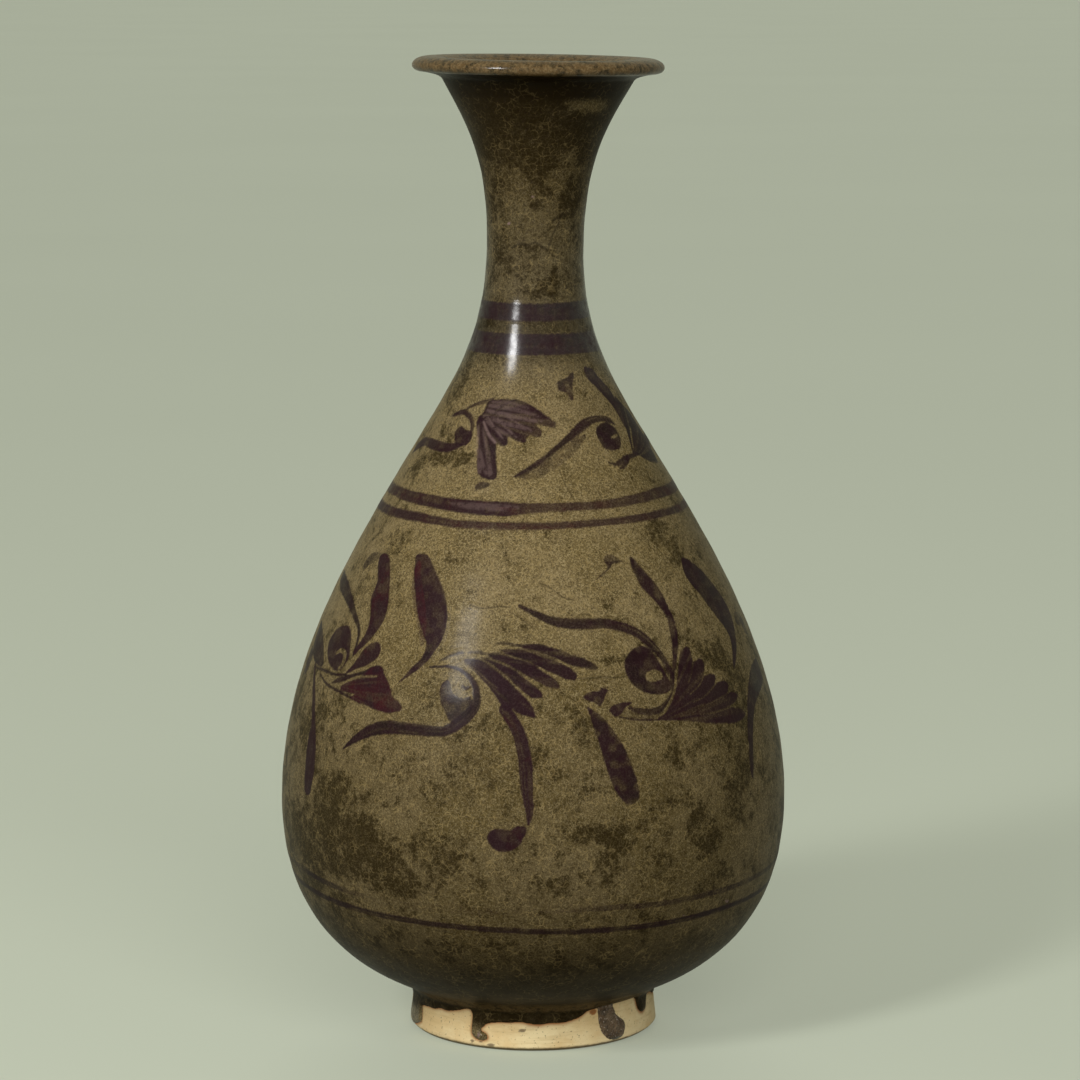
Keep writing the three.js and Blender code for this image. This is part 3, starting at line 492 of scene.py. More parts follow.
def clay_material():
    m = Material("buff_clay", 0.85, 0.3)
    cloud = m.noise(90, 5, 0.6)
    turning = m.noise(700, 3, 0.6, stretch=(0.12, 0.12, 1))
    speck = m.noise(1500, 2, 0.6)
    colour = m.mix(m.rise(cloud, 0.35, 0.65), rgb(221, 192, 139), rgb(233, 212, 163))
    colour = m.mix(m.rise(turning, 0.45, 0.7, 0.35), colour, rgb(184, 153, 100))
    colour = m.mix(m.rise(speck, 0.63, 0.72, 0.7), colour, rgb(104, 80, 54))
    burn = m.swung(m.field("burn"), cloud, 0.8)
    colour = m.mix(m.rise(burn, 0.25, 0.95, 0.9), colour, rgb(146, 84, 34))
    dirt = m.swung(m.field("dirt"), m.noise(400, 4, 0.7), 1.2)
    colour = m.mix(m.rise(dirt, 0.3, 0.9, 0.75), colour, rgb(92, 78, 58))
    return m.finish(colour, m.bump(turning, 0.0002, 0.5, m.bump(m.noise(900, 4, 0.7), 0.00012)))


def inner_material():
    m = Material("inner_clay", 0.9, 0.3)
    turning = m.noise(300, 3, 0.6, stretch=(0.1, 0.1, 1))
    colour = m.mix(m.rise(turning, 0.35, 0.65), rgb(150, 126, 94), rgb(186, 162, 124))
    colour = m.mix(m.rise(m.noise(1200, 3, 0.6), 0.6, 0.72, 0.6), colour, rgb(96, 74, 50))
    return m.finish(colour, m.bump(turning, 0.0003))


def slip_material():
    m = Material("luting_slip", 0.9, 0.3)
    colour = m.mix(m.rise(m.noise(500, 4, 0.6), 0.35, 0.65), rgb(128, 100, 72), rgb(152, 124, 92))
    return m.finish(colour, m.bump(m.noise(700, 3, 0.6), 0.0002))


def run_material():
    m = Material("thick_glaze_run", 0.2, 0.4)
    colour = m.mix(m.rise(m.noise(350, 5, 0.65), 0.35, 0.65), rgb(72, 54, 38), rgb(118, 96, 72))
    # Pale specks: painted highlights on the blisters
    colour = m.mix(m.rise(m.noise(1600, 3, 0.6), 0.58, 0.68, 0.7), colour, rgb(186, 170, 152))
    colour = m.mix(m.rise(m.noise(700, 3, 0.6), 0.5, 0.64, 0.7), colour, rgb(36, 26, 20))
    return m.finish(colour, m.bump(m.noise(800, 3, 0.6), 0.0009, 0.9))


glaze = glaze_material()
clay = clay_material()
inner_clay = inner_material()
slip = slip_material()
run = run_material()


# The coat of glaze: outside, lip and throat, with its back on the clay
COAT_COLUMNS = 360
COAT_STEP = 2.3
BACK_EVERY = 4


def glaze_skin():
    rising = resample(OUTSIDE[OUTSIDE[:, 1] > 13.7], COAT_STEP)
    root = bezier([LIP_ROOT, (LIP_ROOT[0] + 0.8, LIP_ROOT[1] + 1.35), LIP_UNDER], 9)[1:]
    roll = np.concatenate([
        quarter((LIP_UNDER[0], 287.4), 2.35, 1.75, -np.pi / 2, 7)[1:],
        quarter((LIP_CREST[0], 287.4), 4.55, 2.6, 0, 12)[1:],
    ])
    throat = inset(throat_depth, 232, LIP_ROOT[1], 2.0)[::-1]
    inwards = reach(LIP_CREST, 180, 4), reach(throat[0], TRUMPET_SLOPE, 2.5)
    inside = bezier([LIP_CREST, *inwards, throat[0]], 8)[1:-1]
    front = np.concatenate([rising, root, roll, inside, throat])
    root_row, roll_row, _, throat_row = np.cumsum([len(part) for part in (rising, root, roll, inside)])
    coarse = np.unique(np.r_[0:len(front):BACK_EVERY, len(front) - 1])[::-1]
    back = (front - GLAZE * normals(front))[coarse]
    section = np.concatenate([front, back])
    row = np.arange(len(section))
    outer = row < root_row
    on_lip = (row >= roll_row) & (row < throat_row)
    under_lip = (row >= root_row - 3) & (row <= roll_row)
    deep = (row >= throat_row + 2) & (row < len(front))
    angle, radius, height = turned_grid(section, COAT_COLUMNS)
    hollow = wobble(angle, height) * outer
    across, up = np.ones(len(section)), np.zeros(len(section))
    across[:len(front)], up[:len(front)] = normals(front).T
    points = place(angle, radius - hollow * across, height - hollow * up)
    fields = glaze_fields(angle, height)
    # Painted reflection: tan low on the outside, in the cove above the foot
    thin = 0.7 * outer * (1 - smooth(height, 14.6, 16.6))
    fields["tan_wear_and_reflection"] = np.maximum(0.9 * on_lip, thin)
    fields["dark"] = np.where(on_lip, 0.15, fields["dark"])
    # Painted shade under the lip, and darker down inside the throat
    fields["brown_and_shade"] = np.maximum(fields["brown_and_shade"], np.maximum(under_lip, 0.7 * deep))
    return solid_piece("glaze_skin", points.reshape(-1, 3), turned_faces(*angle.shape), glaze, fields)


keep(glaze_skin(), "glaze", "glaze_coat")

# Foot: bare clay wall, and the ragged skirt of glaze with its runs
FOOT_RADIUS = 37.1
FOOT_TOP_RADIUS = 35.81
FOOT_HEIGHTS = (1.3, 13.77)


def foot_wall(height):
    low, high = FOOT_HEIGHTS
    return FOOT_RADIUS + (height - low) * (FOOT_TOP_RADIUS - FOOT_RADIUS) / (high - low)


# Outlines of glaze on the foot wall: angle and height
SKIRT_EDGE = [
    (-100, 9.8), (-92, 9), (-86, 9.6), (-80.5, 9.2), (-80.3, 6.5), (-78.5, 3.2), (-75, 1.5), (-70, 2.2),
    (-66, 3.2), (-64.5, 3.9), (-65, 6.5), (-65.2, 8.3), (-60, 8.9), (-54, 9.1), (-49, 9.9), (-44.5, 9.7),
    (-38, 10.6), (-32, 11.7), (-29.6, 10.6), (-29.2, 8.7), (-29.5, 6), (-29, 4.4), (-27, 3.2),
    (-23.5, 2.9), (-21.5, 3.6), (-22.5, 4.7), (-24.5, 5.4), (-24.6, 6.4), (-23.5, 7), (-21.5, 8),
    (-17, 8.6), (-11.5, 8.8), (-5, 9), (2, 8.4), (7.5, 8.7), (14, 8.7), (21, 9.6), (23.5, 10.3),
    (27, 11.5), (33, 12.2), (38, 12.6), (48, 12.9), (55.6, 12.9), (57.6, 11.5), (58.5, 9.2), (60.2, 7.6),
    (62.6, 6.9), (65, 7), (66.8, 8), (67.8, 9.6), (70, 11.2), (76.5, 10.8), (84, 9.4), (96, 10.6),
    (108, 11.2), (118, 9.6), (130, 9.2), (141, 10.4), (148, 9.6), (149.6, 7), (151, 4.6), (152.6, 4.4),
    (153.6, 7), (156, 9.4), (166, 10.6), (178, 11.4), (190, 10.2), (200, 9.2), (210, 9.6), (212, 7.4),
    (213.6, 6), (215.6, 6.4), (217, 8.8), (226, 10.2), (240, 10.8), (252, 9.9), (260, 9.8),
]
BLOB_EDGE = [
    (33, 12.2), (32, 10.2), (33, 5.6), (35.5, 3), (39.5, 1.6), (45, 1.9), (47, 4), (47, 6.1), (42, 8.9),
    (40.5, 11.4), (38, 12.9),
]
MM_PER_DEGREE = np.radians(36.6)
SKIRT_START = -100
FAR_AWAY = 60.0
NEAR_LINE = 6


def catmull(points, steps, closed=False):
    """Rounds a list of marks into a smooth line."""
    p = np.array(points, float)
    if closed:
        p = np.concatenate([p[-1:], p, p[:2]])
    else:
        p = np.concatenate([2 * p[:1] - p[1:2], p, 2 * p[-1:] - p[-2:-1]])
    t = np.linspace(0, 1, steps, endpoint=False)[:, None]
    parts = []
    for a, b, c, d in zip(p[:-3], p[1:-2], p[2:-1], p[3:]):
        parts.append(0.5 * (2 * b + (c - a) * t + (2 * a - 5 * b + 4 * c - d) * t ** 2
                            + (3 * b - a - 3 * c + d) * t ** 3))
    if not closed:
        parts.append(p[-2:-1])
    return np.concatenate(parts)


def to_line(x, y, line):
    """Distance to a line, and the length, the side offset and the index at the line's nearest place."""
    line = line[:, :2]
    middle, half = (line.min(0) + line.max(0)) / 2, np.ptp(line, 0) / 2 + NEAR_LINE
    near = (np.abs(x - middle[0]) < half[0]) & (np.abs(y - middle[1]) < half[1])
    whole = [np.full(x.shape, FAR_AWAY), np.zeros(x.shape), np.zeros(x.shape), np.zeros(x.shape)]
    x, y = x[near], y[near]
    best, along, side, index = (values[near] for values in whole)
    lengths = lengths_along(line)
    for i, ((ax, ay), (dx, dy)) in enumerate(zip(line[:-1], np.diff(line, axis=0))):
        t = np.clip(((x - ax) * dx + (y - ay) * dy) / (dx * dx + dy * dy + 1e-12), 0, 1)
        away = np.hypot(x - ax - t * dx, y - ay - t * dy)
        nearer = away < best
        best = np.where(nearer, away, best)
        along = np.where(nearer, lengths[i] + t * (lengths[i + 1] - lengths[i]), along)
        side = np.where(nearer, np.sign(dx * (y - ay) - dy * (x - ax)), side)
        index = np.where(nearer, i + t, index)
    for values, found in zip(whole, (best, along, side * best, index)):
        values[near] = found
    return whole


def in_polygon(x, y, line):
    inside = np.zeros(x.shape, bool)
    for (ax, ay), (bx, by) in zip(line[:, :2], np.roll(line[:, :2], -1, 0)):
        crosses = (ay > y) != (by > y)
        with np.errstate(divide="ignore", invalid="ignore"):
            inside ^= crosses & (x < (bx - ax) * (y - ay) / (by - ay) + ax)
    return inside


def area_distance(x, y, line):
    """Distance to the edge of a closed outline, below 0 inside."""
    away = to_line(x, y, np.concatenate([line, line[:1]]))[0]
    return np.where(in_polygon(x, y, line), -away, away)


def skirt_distance(angle, height):
    """Distance from the edge of the glaze on the foot, above 0 where there is glaze."""
    edge = catmull([(a * MM_PER_DEGREE, z) for a, z in SKIRT_EDGE], 5)
    whole_turn = 360 * MM_PER_DEGREE
    x = ((angle - SKIRT_START) % 360 + SKIRT_START) * MM_PER_DEGREE
    away = np.min([to_line(x + shift, height, edge)[0] for shift in (-whole_turn, 0, whole_turn)], 0)
    beyond = 40
    outline = np.concatenate([
        [[edge[0, 0] - beyond, edge[0, 1]]], edge, [[edge[-1, 0] + beyond, edge[-1, 1]]],
        [[whole_turn + beyond, beyond], [-whole_turn - beyond, beyond]],
    ])
    return np.where(in_polygon(x, height, outline), away, -away)


WALL_BOTTOM = 0.9
COVE_BOTTOM = 11.2
COVE_RADIUS = 41.5
COVE_TOP = np.array([COVE_RADIUS, np.interp(COVE_RADIUS, *OUTSIDE[:SPAN_STEPS].T)])
FOOT_FACE = np.concatenate([
    np.array([[foot_wall(z), z] for z in np.linspace(WALL_BOTTOM, COVE_BOTTOM, 40)])[:-1],
    bezier([(foot_wall(COVE_BOTTOM), COVE_BOTTOM), (36.4, 13.35), COVE_TOP], 30),
])
FOOT_LENGTHS = lengths_along(FOOT_FACE)
FOOT_NORMAL = normals(FOOT_FACE)
TOP_LEVEL = WALL_BOTTOM + FOOT_LENGTHS[-1]
LEVEL_STEP = 0.33
SUNK = -0.35
SPILL = 0.7


def on_foot(angle, level, outwards):
    """Level is the way up the foot wall and out through the cove, and equals the height on the wall."""
    radius, height, across, up = (
        np.interp(level - WALL_BOTTOM, FOOT_LENGTHS, column) for column in (*FOOT_FACE.T, *FOOT_NORMAL.T)
    )
    return place(angle, radius + across * outwards, height + up * outwards)


def foot_glaze(name, angles, levels, inside, thickness, rounding, material, fields, fade=0, ring=False):
    """Glaze on the foot, rounded towards its edge and sunk in the clay outside it and where it fades."""
    rounded = thickness * np.sqrt(1 - (1 - np.clip(inside / rounding, 0, 1)) ** 2)
    top = np.where(inside > 0, rounded, 0.35 * inside) * (1 - fade) - 0.06 * fade
    return patch(name, angles, levels, inside > -SPILL, top, SUNK, on_foot, material, fields, ring)


def foot_skirt():
    angles = np.linspace(-180, 180, 720, endpoint=False)
    levels = np.arange(1.0, TOP_LEVEL, LEVEL_STEP)
    a, z = np.meshgrid(angles, levels, indexing="ij")
    bead = 0.5 + 0.35 * np.exp(-((z - 4) / 3.0) ** 2)
    low = 1 - smooth(z, 5, 9)
    # A painted highlight: a small pale spot on the hooked run
    glint = np.hypot((a + 25.3) * MM_PER_DEGREE / 0.4, z - 4.5)
    # The tan near the top of the skirt, in the cove, is a painted reflection
    fields = {
        "dark": 0.55 - 0.35 * low, "brown_and_shade": 0.9 - 0.65 * low, "gloss": 0.8 * low,
        "pale_wear_and_highlight": 1 - smooth(glint, 0.5, 1.3), "tan_wear_and_reflection": 0.7 * smooth(z, 11.8, 13.6),
    }
    inside = skirt_distance(a, z)
    fade = smooth(z, 13.5, TOP_LEVEL - 0.5)
    return foot_glaze("foot_glaze", angles, levels, inside, bead, 0.9, glaze, fields, fade, ring=True)


def foot_blob():
    angles = np.arange(28, 52, 0.5)
    levels = np.arange(0.95, 14.5, LEVEL_STEP)
    a, z = np.meshgrid(angles, levels, indexing="ij")
    outline = catmull([(p * MM_PER_DEGREE, q) for p, q in BLOB_EDGE], 6, closed=True)
    inside = -area_distance(a * MM_PER_DEGREE, z, outline)
    blisters = 0.6 * grain(a * 0.42, z * 0.7, 5) + 0.4 * grain(a * 1.1, z * 1.9, 6)
    return foot_glaze("foot_blister", angles, levels, inside, 0.45 + 1.3 * blisters, 1.4, run, {})


keep(foot_skirt(), "glaze", "glaze_run_wide", "glaze_run_hooked", "glaze_run_pointed",
     "glaze_run_back_left", "glaze_run_back_right")
keep(foot_blob(), "run_glaze", "glaze_run_blistered")


# Marks on the bare clay: angle, height, half width, half height, rust and dirt
FOOT_MARKS = [
    (-5, 6.4, 1.2, 0.6, 0.4, 1), (-29, 2.2, 0.9, 0.6, 0.5, 1), (-24.5, 2.3, 0.8, 0.5, 0.5, 0.9),
    (-19.5, 1.7, 1.4, 0.6, 0.4, 1), (29.4, 10.7, 1.4, 1.1, 1.3, 0.6), (-48, 6, 0.7, 0.5, 0.5, 0.7),
    (24, 4.2, 0.6, 0.4, 0.4, 0.6), (54, 8.4, 0.6, 0.6, 0.4, 0.7), (118, 5, 1.3, 0.6, 0.6, 0.9),
    (176, 4.2, 1, 0.8, 0.9, 0.8), (238, 6.2, 1.1, 0.6, 0.5, 0.9),
]


def foot_fields(angle, radius, height):
    edge = skirt_distance(angle, height)
    outer = smooth(radius, 34, 35.5)
    burn = outer * np.exp(np.minimum(0, edge) / 1.1)
    dirt = np.maximum(1 - smooth(height, 0.6, 2.0), 0.25 * (1 - outer))
    for middle, level, width, tall, rust, soil in FOOT_MARKS:
        mark = outer * spot(angle, height, middle, level, width / MM_PER_DEGREE, tall, 1.3, 0.4)
        burn = np.maximum(burn, rust * mark)
        dirt = np.maximum(dirt, soil * mark)
    return {"burn": burn, "dirt": dirt}


# Sections of the clay body: they meet at bevelled seams, each with a little slip between them
SEAMS = {"belly": 70, "neck": 199, "mouth": 262}
SEAM_HALF = 0.3
SEAM_BEVEL = 1.5
FOOT_INNER = 28.6
FOOT_TOP = 12.4
SEAT = 13.0
RECESS = 8.0
FLOOR = 16.6


def glaze_depth(height):
    return GLAZE + 0 * height


def clay_depth(height):
    return GLAZE + wall(height)


def seam_point(height, side, depth, drop=0.0):
    """Point near a seam: some depth inside the glaze's face and some way up along it."""
    radius, level = outside(height, -depth)
    across, up = OUTSIDE_NORMAL[np.argmin(np.abs(OUTSIDE[:, 1] - height))]
    return radius - up * (side - drop), level + across * (side - drop)


def seam_pair(height, side):
    """Outer and inner end of one face of a seam."""
    depths = (glaze_depth(height), 0.0), (clay_depth(height), SEAM_BEVEL)
    return [seam_point(height, side, depth, drop) for depth, drop in depths]


def walls(low, high, inner_low, inner_high, step=3.0):
    """Outer face of the clay from bottom to top, and its inner face from top to bottom."""
    return inset(glaze_depth, low, high, step), inset(clay_depth, inner_low, inner_high, step)[::-1]


def clay_pieces():
    wall_line = [(foot_wall(z), z) for z in np.linspace(FOOT_HEIGHTS[0], FOOT_TOP, 24)]
    ring = [(29.6, 0), (32.4, 0), (35.2, 0), (35.9, 0.25), (36.6, 0.75), *wall_line, (32, FOOT_TOP)]
    ring += [(FOOT_INNER, z) for z in (FOOT_TOP, 9, 5, 1)]
    keep(turned("foot_clay", ring, clay, 360, 0.02, foot_fields), "bare_clay", "foot_ring")
    bed = [(28, 9), (FOOT_INNER, 9), (FOOT_INNER, FOOT_TOP)]
    bed += [(foot_wall(z) - 0.05, z) for z in (FOOT_TOP, SEAT)] + [(28, SEAT)]
    keep(turned("foot_slip", bed, slip), "luting_slip", "foot_luting")

    recess = [(0.01, RECESS), (1.2, 7.7), (2.4, RECESS)]
    recess += [(r, RECESS + 0.12 * np.sin(r * 1.1)) for r in np.linspace(3.5, 26, 24)]
    recess += [(28, RECESS), (28, SEAT), (foot_wall(SEAT) - 0.1, SEAT)]
    outer, inner = walls(13.8, 69.2, 17.5, 67.0)
    floor_line = [(30, FLOOR + 0.3), (15, FLOOR + 0.05), (0.01, FLOOR)]
    base = [*recess, *outer, *seam_pair(SEAMS["belly"], -SEAM_HALF), *inner, *floor_line]
    keep(turned("lower_clay", base, inner_clay), "body_clay", "lower_body")

    for name, node, low, high in (
        ("upper_clay", "upper_body", SEAMS["belly"], SEAMS["neck"]),
        ("neck_clay", "neck", SEAMS["neck"], SEAMS["mouth"]),
    ):
        outer, inner = walls(low + 1.0, high - 1.0, low + 2.0, high - 3.5)
        first, last = seam_pair(low, SEAM_HALF)
        section = [first, *outer, *seam_pair(high, -SEAM_HALF), *inner, last]
        keep(turned(name, section, inner_clay), "body_clay", node)

    for label, height in SEAMS.items():
        outer_low, inner_low = seam_pair(height, -SEAM_HALF)
        section = [outer_low, *seam_pair(height, SEAM_HALF), inner_low]
        if label != "mouth":  # Slip squeezed out inside, where no tool reached
            section.insert(3, seam_point(height, 0, clay_depth(height) + 0.8, SEAM_BEVEL))
        keep(turned(label + "_slip", section, slip), "luting_slip", label + "_luting")

    outer, inner = walls(263, 283, 264, 283, 2.5)
    lip = [(27.4, 284.5), (31, 286.2), (34.6, 286.9), (35.9, 287.6), (34.8, 288.7), (32.4, 289.3),
           (28.5, 288.6), (26.2, 286.6), (24.6, 284.9)]
    first, last = seam_pair(SEAMS["mouth"], SEAM_HALF)
    keep(turned("mouth_clay", [first, *outer, *lip, *inner, last], inner_clay), "body_clay", "mouth")


clay_pieces()

# Painting. An area is the outline of one brush mark, and a stroke is its middle line with widths:
# angle from the front, height and width. Dense is how much pigment there is, tone how red it is,
# and dry how much the bristles leave bare, along lines that come from the root where one is named.
# A lift takes pigment off along a line, a pale mark lies on it, mostly as a painted highlight and at a few
# chips as real wear, and a crack is a dark hairline.
# What is added to the places of the noise only shifts it.
SOFT = 0.22
RAGGED = 0.22
DEPOSIT_REACH = 1.6
DEPOSIT_BACK = -0.15
PAINT_MARGIN = 3
PAINT_CELL = 0.3
FAULT_CELL = 0.18


def area(marks, dense=0.97, tone=0.5, dry=0.12, root=None):
    return {"kind": "area", "marks": marks, "dense": dense, "tone": tone, "dry": dry, "root": root}


def stroke(marks, dense=0.96, tone=0.5, dry=0.15):
    return {"kind": "stroke", "marks": marks, "dense": dense, "tone": tone, "dry": dry}


def lift(marks, strength=0.9):
    return {"kind": "lift", "marks": marks, "strength": strength}


# Pale marks: painted highlights on thick pigment and glaze, and a few real chips
def pale_wear_and_highlight(marks, strength=0.6):
    return {"kind": "pale_wear_and_highlight", "marks": marks, "strength": strength}


def crack(marks, width=0.32, strength=0.5):
    return {"kind": "crack", "marks": [(*mark, width) for mark in marks], "strength": strength}


class Ink:
    """The pigment of one deposit, worked out on a grid of angles and heights."""

    def __init__(self, angles, heights, seed):
        self.angles = angles
        self.heights = heights
        self.middle = (angles[0] + angles[-1]) / 2
        self.a, self.z = np.meshgrid(angles, heights, indexing="ij")
        self.x, self.y = self.flat(self.a, self.z)
        shape = self.a.shape
        self.clear = np.ones(shape)
        self.edge = np.full(shape, FAR_AWAY)
        self.tone = np.full(shape, 0.5)
        self.extra = {"pale_wear_and_highlight": np.zeros(shape), "crack": np.zeros(shape)}
        self.seed = seed
        self.blur = min(0.25, 0.6 * (heights[1] - heights[0]))

    def flat(self, angle, height):
        """Millimetres across and up, as if the glaze were rolled out."""
        return np.radians(angle - self.middle) * outside(height)[0], height

    def line(self, marks, closed=False):
        angle, height, *widths = np.array(marks, float).T
        return catmull(np.column_stack([*self.flat(angle, height), *widths]), 5, closed)

    def lay(self, distance, density, tone):
        ragged = distance + RAGGED * (grain(self.x * 1.3 + 90, self.y * 1.3 + 9, self.seed) - 0.5)
        cover = np.clip(density * (1 - smooth(ragged, -SOFT, SOFT)), 0, 1)
        self.clear *= 1 - cover
        self.tone += (tone - self.tone) * np.clip(cover * 1.5, 0, 1)
        self.edge = np.minimum(self.edge, distance)
        self.seed += 1

    def beside(self, marks):
        """Distance outside a line with widths, and the length and the side offset along it."""
        line = self.line(marks)
        away, along, side, index = to_line(self.x, self.y, line)
        return away - np.interp(index, np.arange(len(line)), line[:, 2]) / 2, along, side

    def stroke(self, marks, dense, tone, dry):
        distance, along, side = self.beside(marks)
        streak = grain(along * 0.09 + 7, side * 2.2 + 31, self.seed)
        self.lay(distance, dense * (1 - dry * smooth(streak, 0.4, 0.85)), tone)

    def area(self, marks, dense, tone, dry, root):
        distance = area_distance(self.x, self.y, self.line(marks, closed=True))
        streak = grain(self.x * 0.45 + 60, self.y * 0.45 + 60, self.seed + 3)
        if root:
            x, y = self.flat(*root)
            x, y = self.x - x, self.y - y
            streak = grain(np.arctan2(y, x) * 20 + 99, np.hypot(y, x) * 0.08, self.seed)
        self.lay(distance, dense * (1 - dry * smooth(streak, 0.4, 0.8)), tone)

    def thin_mark(self, marks, strength):
        """Strength of a thin mark. Where nothing is painted yet, the piece reaches round the mark."""
        distance = self.beside(marks)[0]
        if self.clear.min() == 1:
            self.edge = np.minimum(self.edge, distance)
        return strength * (1 - smooth(distance, -self.blur, self.blur * 1.6))

    def draw(self, step):
        kind = step["kind"]
        given = {key: value for key, value in step.items() if key != "kind"}
        if kind == "area":
            self.area(**given)
        elif kind == "stroke":
            self.stroke(**given)
        elif kind == "lift":
            self.clear = 1 - (1 - self.clear) * (1 - self.thin_mark(**given))
        else:
            self.extra[kind] = np.maximum(self.extra[kind], self.thin_mark(**given))

    def piece(self, name, node, ring=False):
        pigment = 1 - self.clear
        top = 0.02 + 0.03 * pigment - 0.06 * smooth(self.edge, 0.5, DEPOSIT_REACH)
        fields = {"pigment": pigment, "tone": self.tone, **self.extra, **glaze_fields(self.a, self.z)}
        fields["gloss"] = fields["gloss"] * (1 + 0.4 * pigment)
        made = patch(name, self.angles, self.heights, self.edge < DEPOSIT_REACH, top, DEPOSIT_BACK,
                     on_glaze, glaze, fields, ring)
        if node:
            keep(made, "iron_pigment", node)
        else:
            keep(made, "glaze")


def paint(name, node, steps, turn=0.0, cell=PAINT_CELL):
    """Lays the steps of one deposit on the glaze, turned round the vase from where they were drawn."""
    steps = [{**step, "marks": [(mark[0] + turn, *mark[1:]) for mark in step["marks"]]} for step in steps]
    for step in steps:
        if step.get("root"):
            step["root"] = (step["root"][0] + turn, step["root"][1])
    marks = [mark for step in steps for mark in step["marks"]]
    turns, levels = [mark[0] for mark in marks], [mark[1] for mark in marks]
    widest = max([mark[2] for mark in marks if len(mark) > 2] + [0]) / 2
    low, high = min(levels) - widest - PAINT_MARGIN, max(levels) + widest + PAINT_MARGIN
    scale = np.radians(outside((low + high) / 2)[0])
    margin = (widest + PAINT_MARGIN) / scale
    first, last = min(turns) - margin, max(turns) + margin
    angles = np.linspace(first, last, int((last - first) * scale / cell) + 1)
    ink = Ink(angles, np.arange(low, high, cell), 10 + len(name) * 7)
    for step in steps:
        ink.draw(step)
    ink.piece(name, node)


# Turned lines: angle, height, width and density round the vase
LINES = {
    "neck_line_upper": [
        (0, 216.2, 4.8, 0.99), (90, 216.4, 4.9, 0.99), (180, 216.0, 4.6, 0.96), (270, 216.3, 4.9, 0.98),
    ],
    "neck_line_lower": [
        (0, 207.1, 5.7, 0.99), (90, 207.0, 5.5, 0.99), (180, 207.3, 5.9, 0.98), (270, 207.1, 5.7, 0.98),
    ],
    "shoulder_line_upper": [
        (-70, 163.5, 2.6, 0.9), (-45, 163, 3.1, 0.96), (-20, 162.3, 3.6, 0.97), (-10, 162.3, 3.6, 0.96),
        (-2, 162.6, 2.6, 0.85), (6, 162.8, 2.2, 0.8), (30, 162.9, 2.1, 0.82), (60, 164, 2.7, 0.88),
        (90, 163.8, 2.7, 0.88), (180, 163.2, 2.8, 0.85), (230, 163.3, 2.4, 0.7),
    ],
    "shoulder_line_lower": [
        (-80, 158.3, 2.3, 0.95), (-45, 158.3, 2.3, 0.95), (-30, 157.7, 1.8, 0.85), (0, 157.8, 1.7, 0.82),
        (30, 158.3, 1.7, 0.86), (60, 158.6, 1.9, 0.9), (120, 158.4, 2, 0.85), (200, 158.0, 2.2, 0.9),
    ],
    "base_line_upper": [
        (-80, 54, 1.2, 0.5), (-70, 53.8, 1.3, 0.55), (-62, 53.3, 1.5, 0.9), (-52, 52.3, 1.5, 0.8),
        (-45, 51.8, 1.2, 0.35), (-35, 51.5, 1.2, 0.08), (-12, 51, 1.3, 0.15), (0, 51.4, 1.2, 0.06),
        (10, 51.8, 1.2, 0.35), (17, 52, 1.4, 0.62), (30, 51.5, 1.4, 0.66), (50, 52, 1.4, 0.7),
        (80, 53, 1.4, 0.7), (140, 52.6, 1.4, 0.75), (200, 52.2, 1.3, 0.5), (250, 53, 1.4, 0.6),
    ],
    "base_line_lower": [
        (-75, 48.5, 1.5, 0.9), (-50, 47, 1.5, 0.9), (-20, 46, 1.5, 0.86), (10, 45, 1.5, 0.9),
        (30, 45, 1.5, 0.93), (50, 45.8, 1.5, 0.95), (75, 46, 1.5, 0.95), (150, 46.4, 1.5, 0.88),
        (230, 47.8, 1.4, 0.82),
    ],
}

# Columns, tone and dryness of the lines on each part of the vase
LINE_LOOKS = {"neck": (480, 0.4, 0.15), "shoulder": (720, 0.7, 0.15), "base": (720, 0.2, 0.35)}
LINE_CELL = 0.36
LINE_MARGIN = 6.5

# Painted highlight: a pale patch where a thick stretch of a line catches the light
LINE_SHEEN = {
    "shoulder_line_upper": [
        pale_wear_and_highlight([(-34, 162.8, 0.6), (-24, 162.7, 1.6), (-14, 162.6, 1.8), (-6, 162.8, 0.8)], 0.26),
    ],
}


def turned_line(node, marks):
    columns, tone, dry = LINE_LOOKS[node.split("_")[0]]
    middle = np.mean([mark[1] for mark in marks])
    angles = np.linspace(-180, 180, columns, endpoint=False)
    ink = Ink(angles, np.arange(middle - LINE_MARGIN, middle + LINE_MARGIN, LINE_CELL), len(node) * 5)
    for step in LINE_SHEEN.get(node, ()):
        ink.draw(step)
    turns, *columns_of = zip(*sorted((turn_from(mark[0], 0), *mark[1:]) for mark in marks))
    level, width, dense = (np.interp(ink.a, turns, values, period=360) for values in columns_of)
    east, north = np.cos(np.radians(ink.a)), np.sin(np.radians(ink.a))
    # The noise runs on a circle, so that it meets itself behind
    ink.x, ink.y = 20 * east + 60, ink.z + 20 * north + 40
    streak = grain(6 * east + 20, ink.z * 1.9 + 2 * north, 77) + grain(30 * east + 60, 30 * north + 60, 78)
    distance = np.abs(ink.z - level) - (width / 2 + 0.15)
    ink.lay(distance, dense * (1 - dry * smooth(streak / 2, 0.45, 0.8)), tone)
    ink.piece(node.replace("line", "band"), node, ring=True)


for line_node, line_marks in LINES.items():
    turned_line(line_node, line_marks)

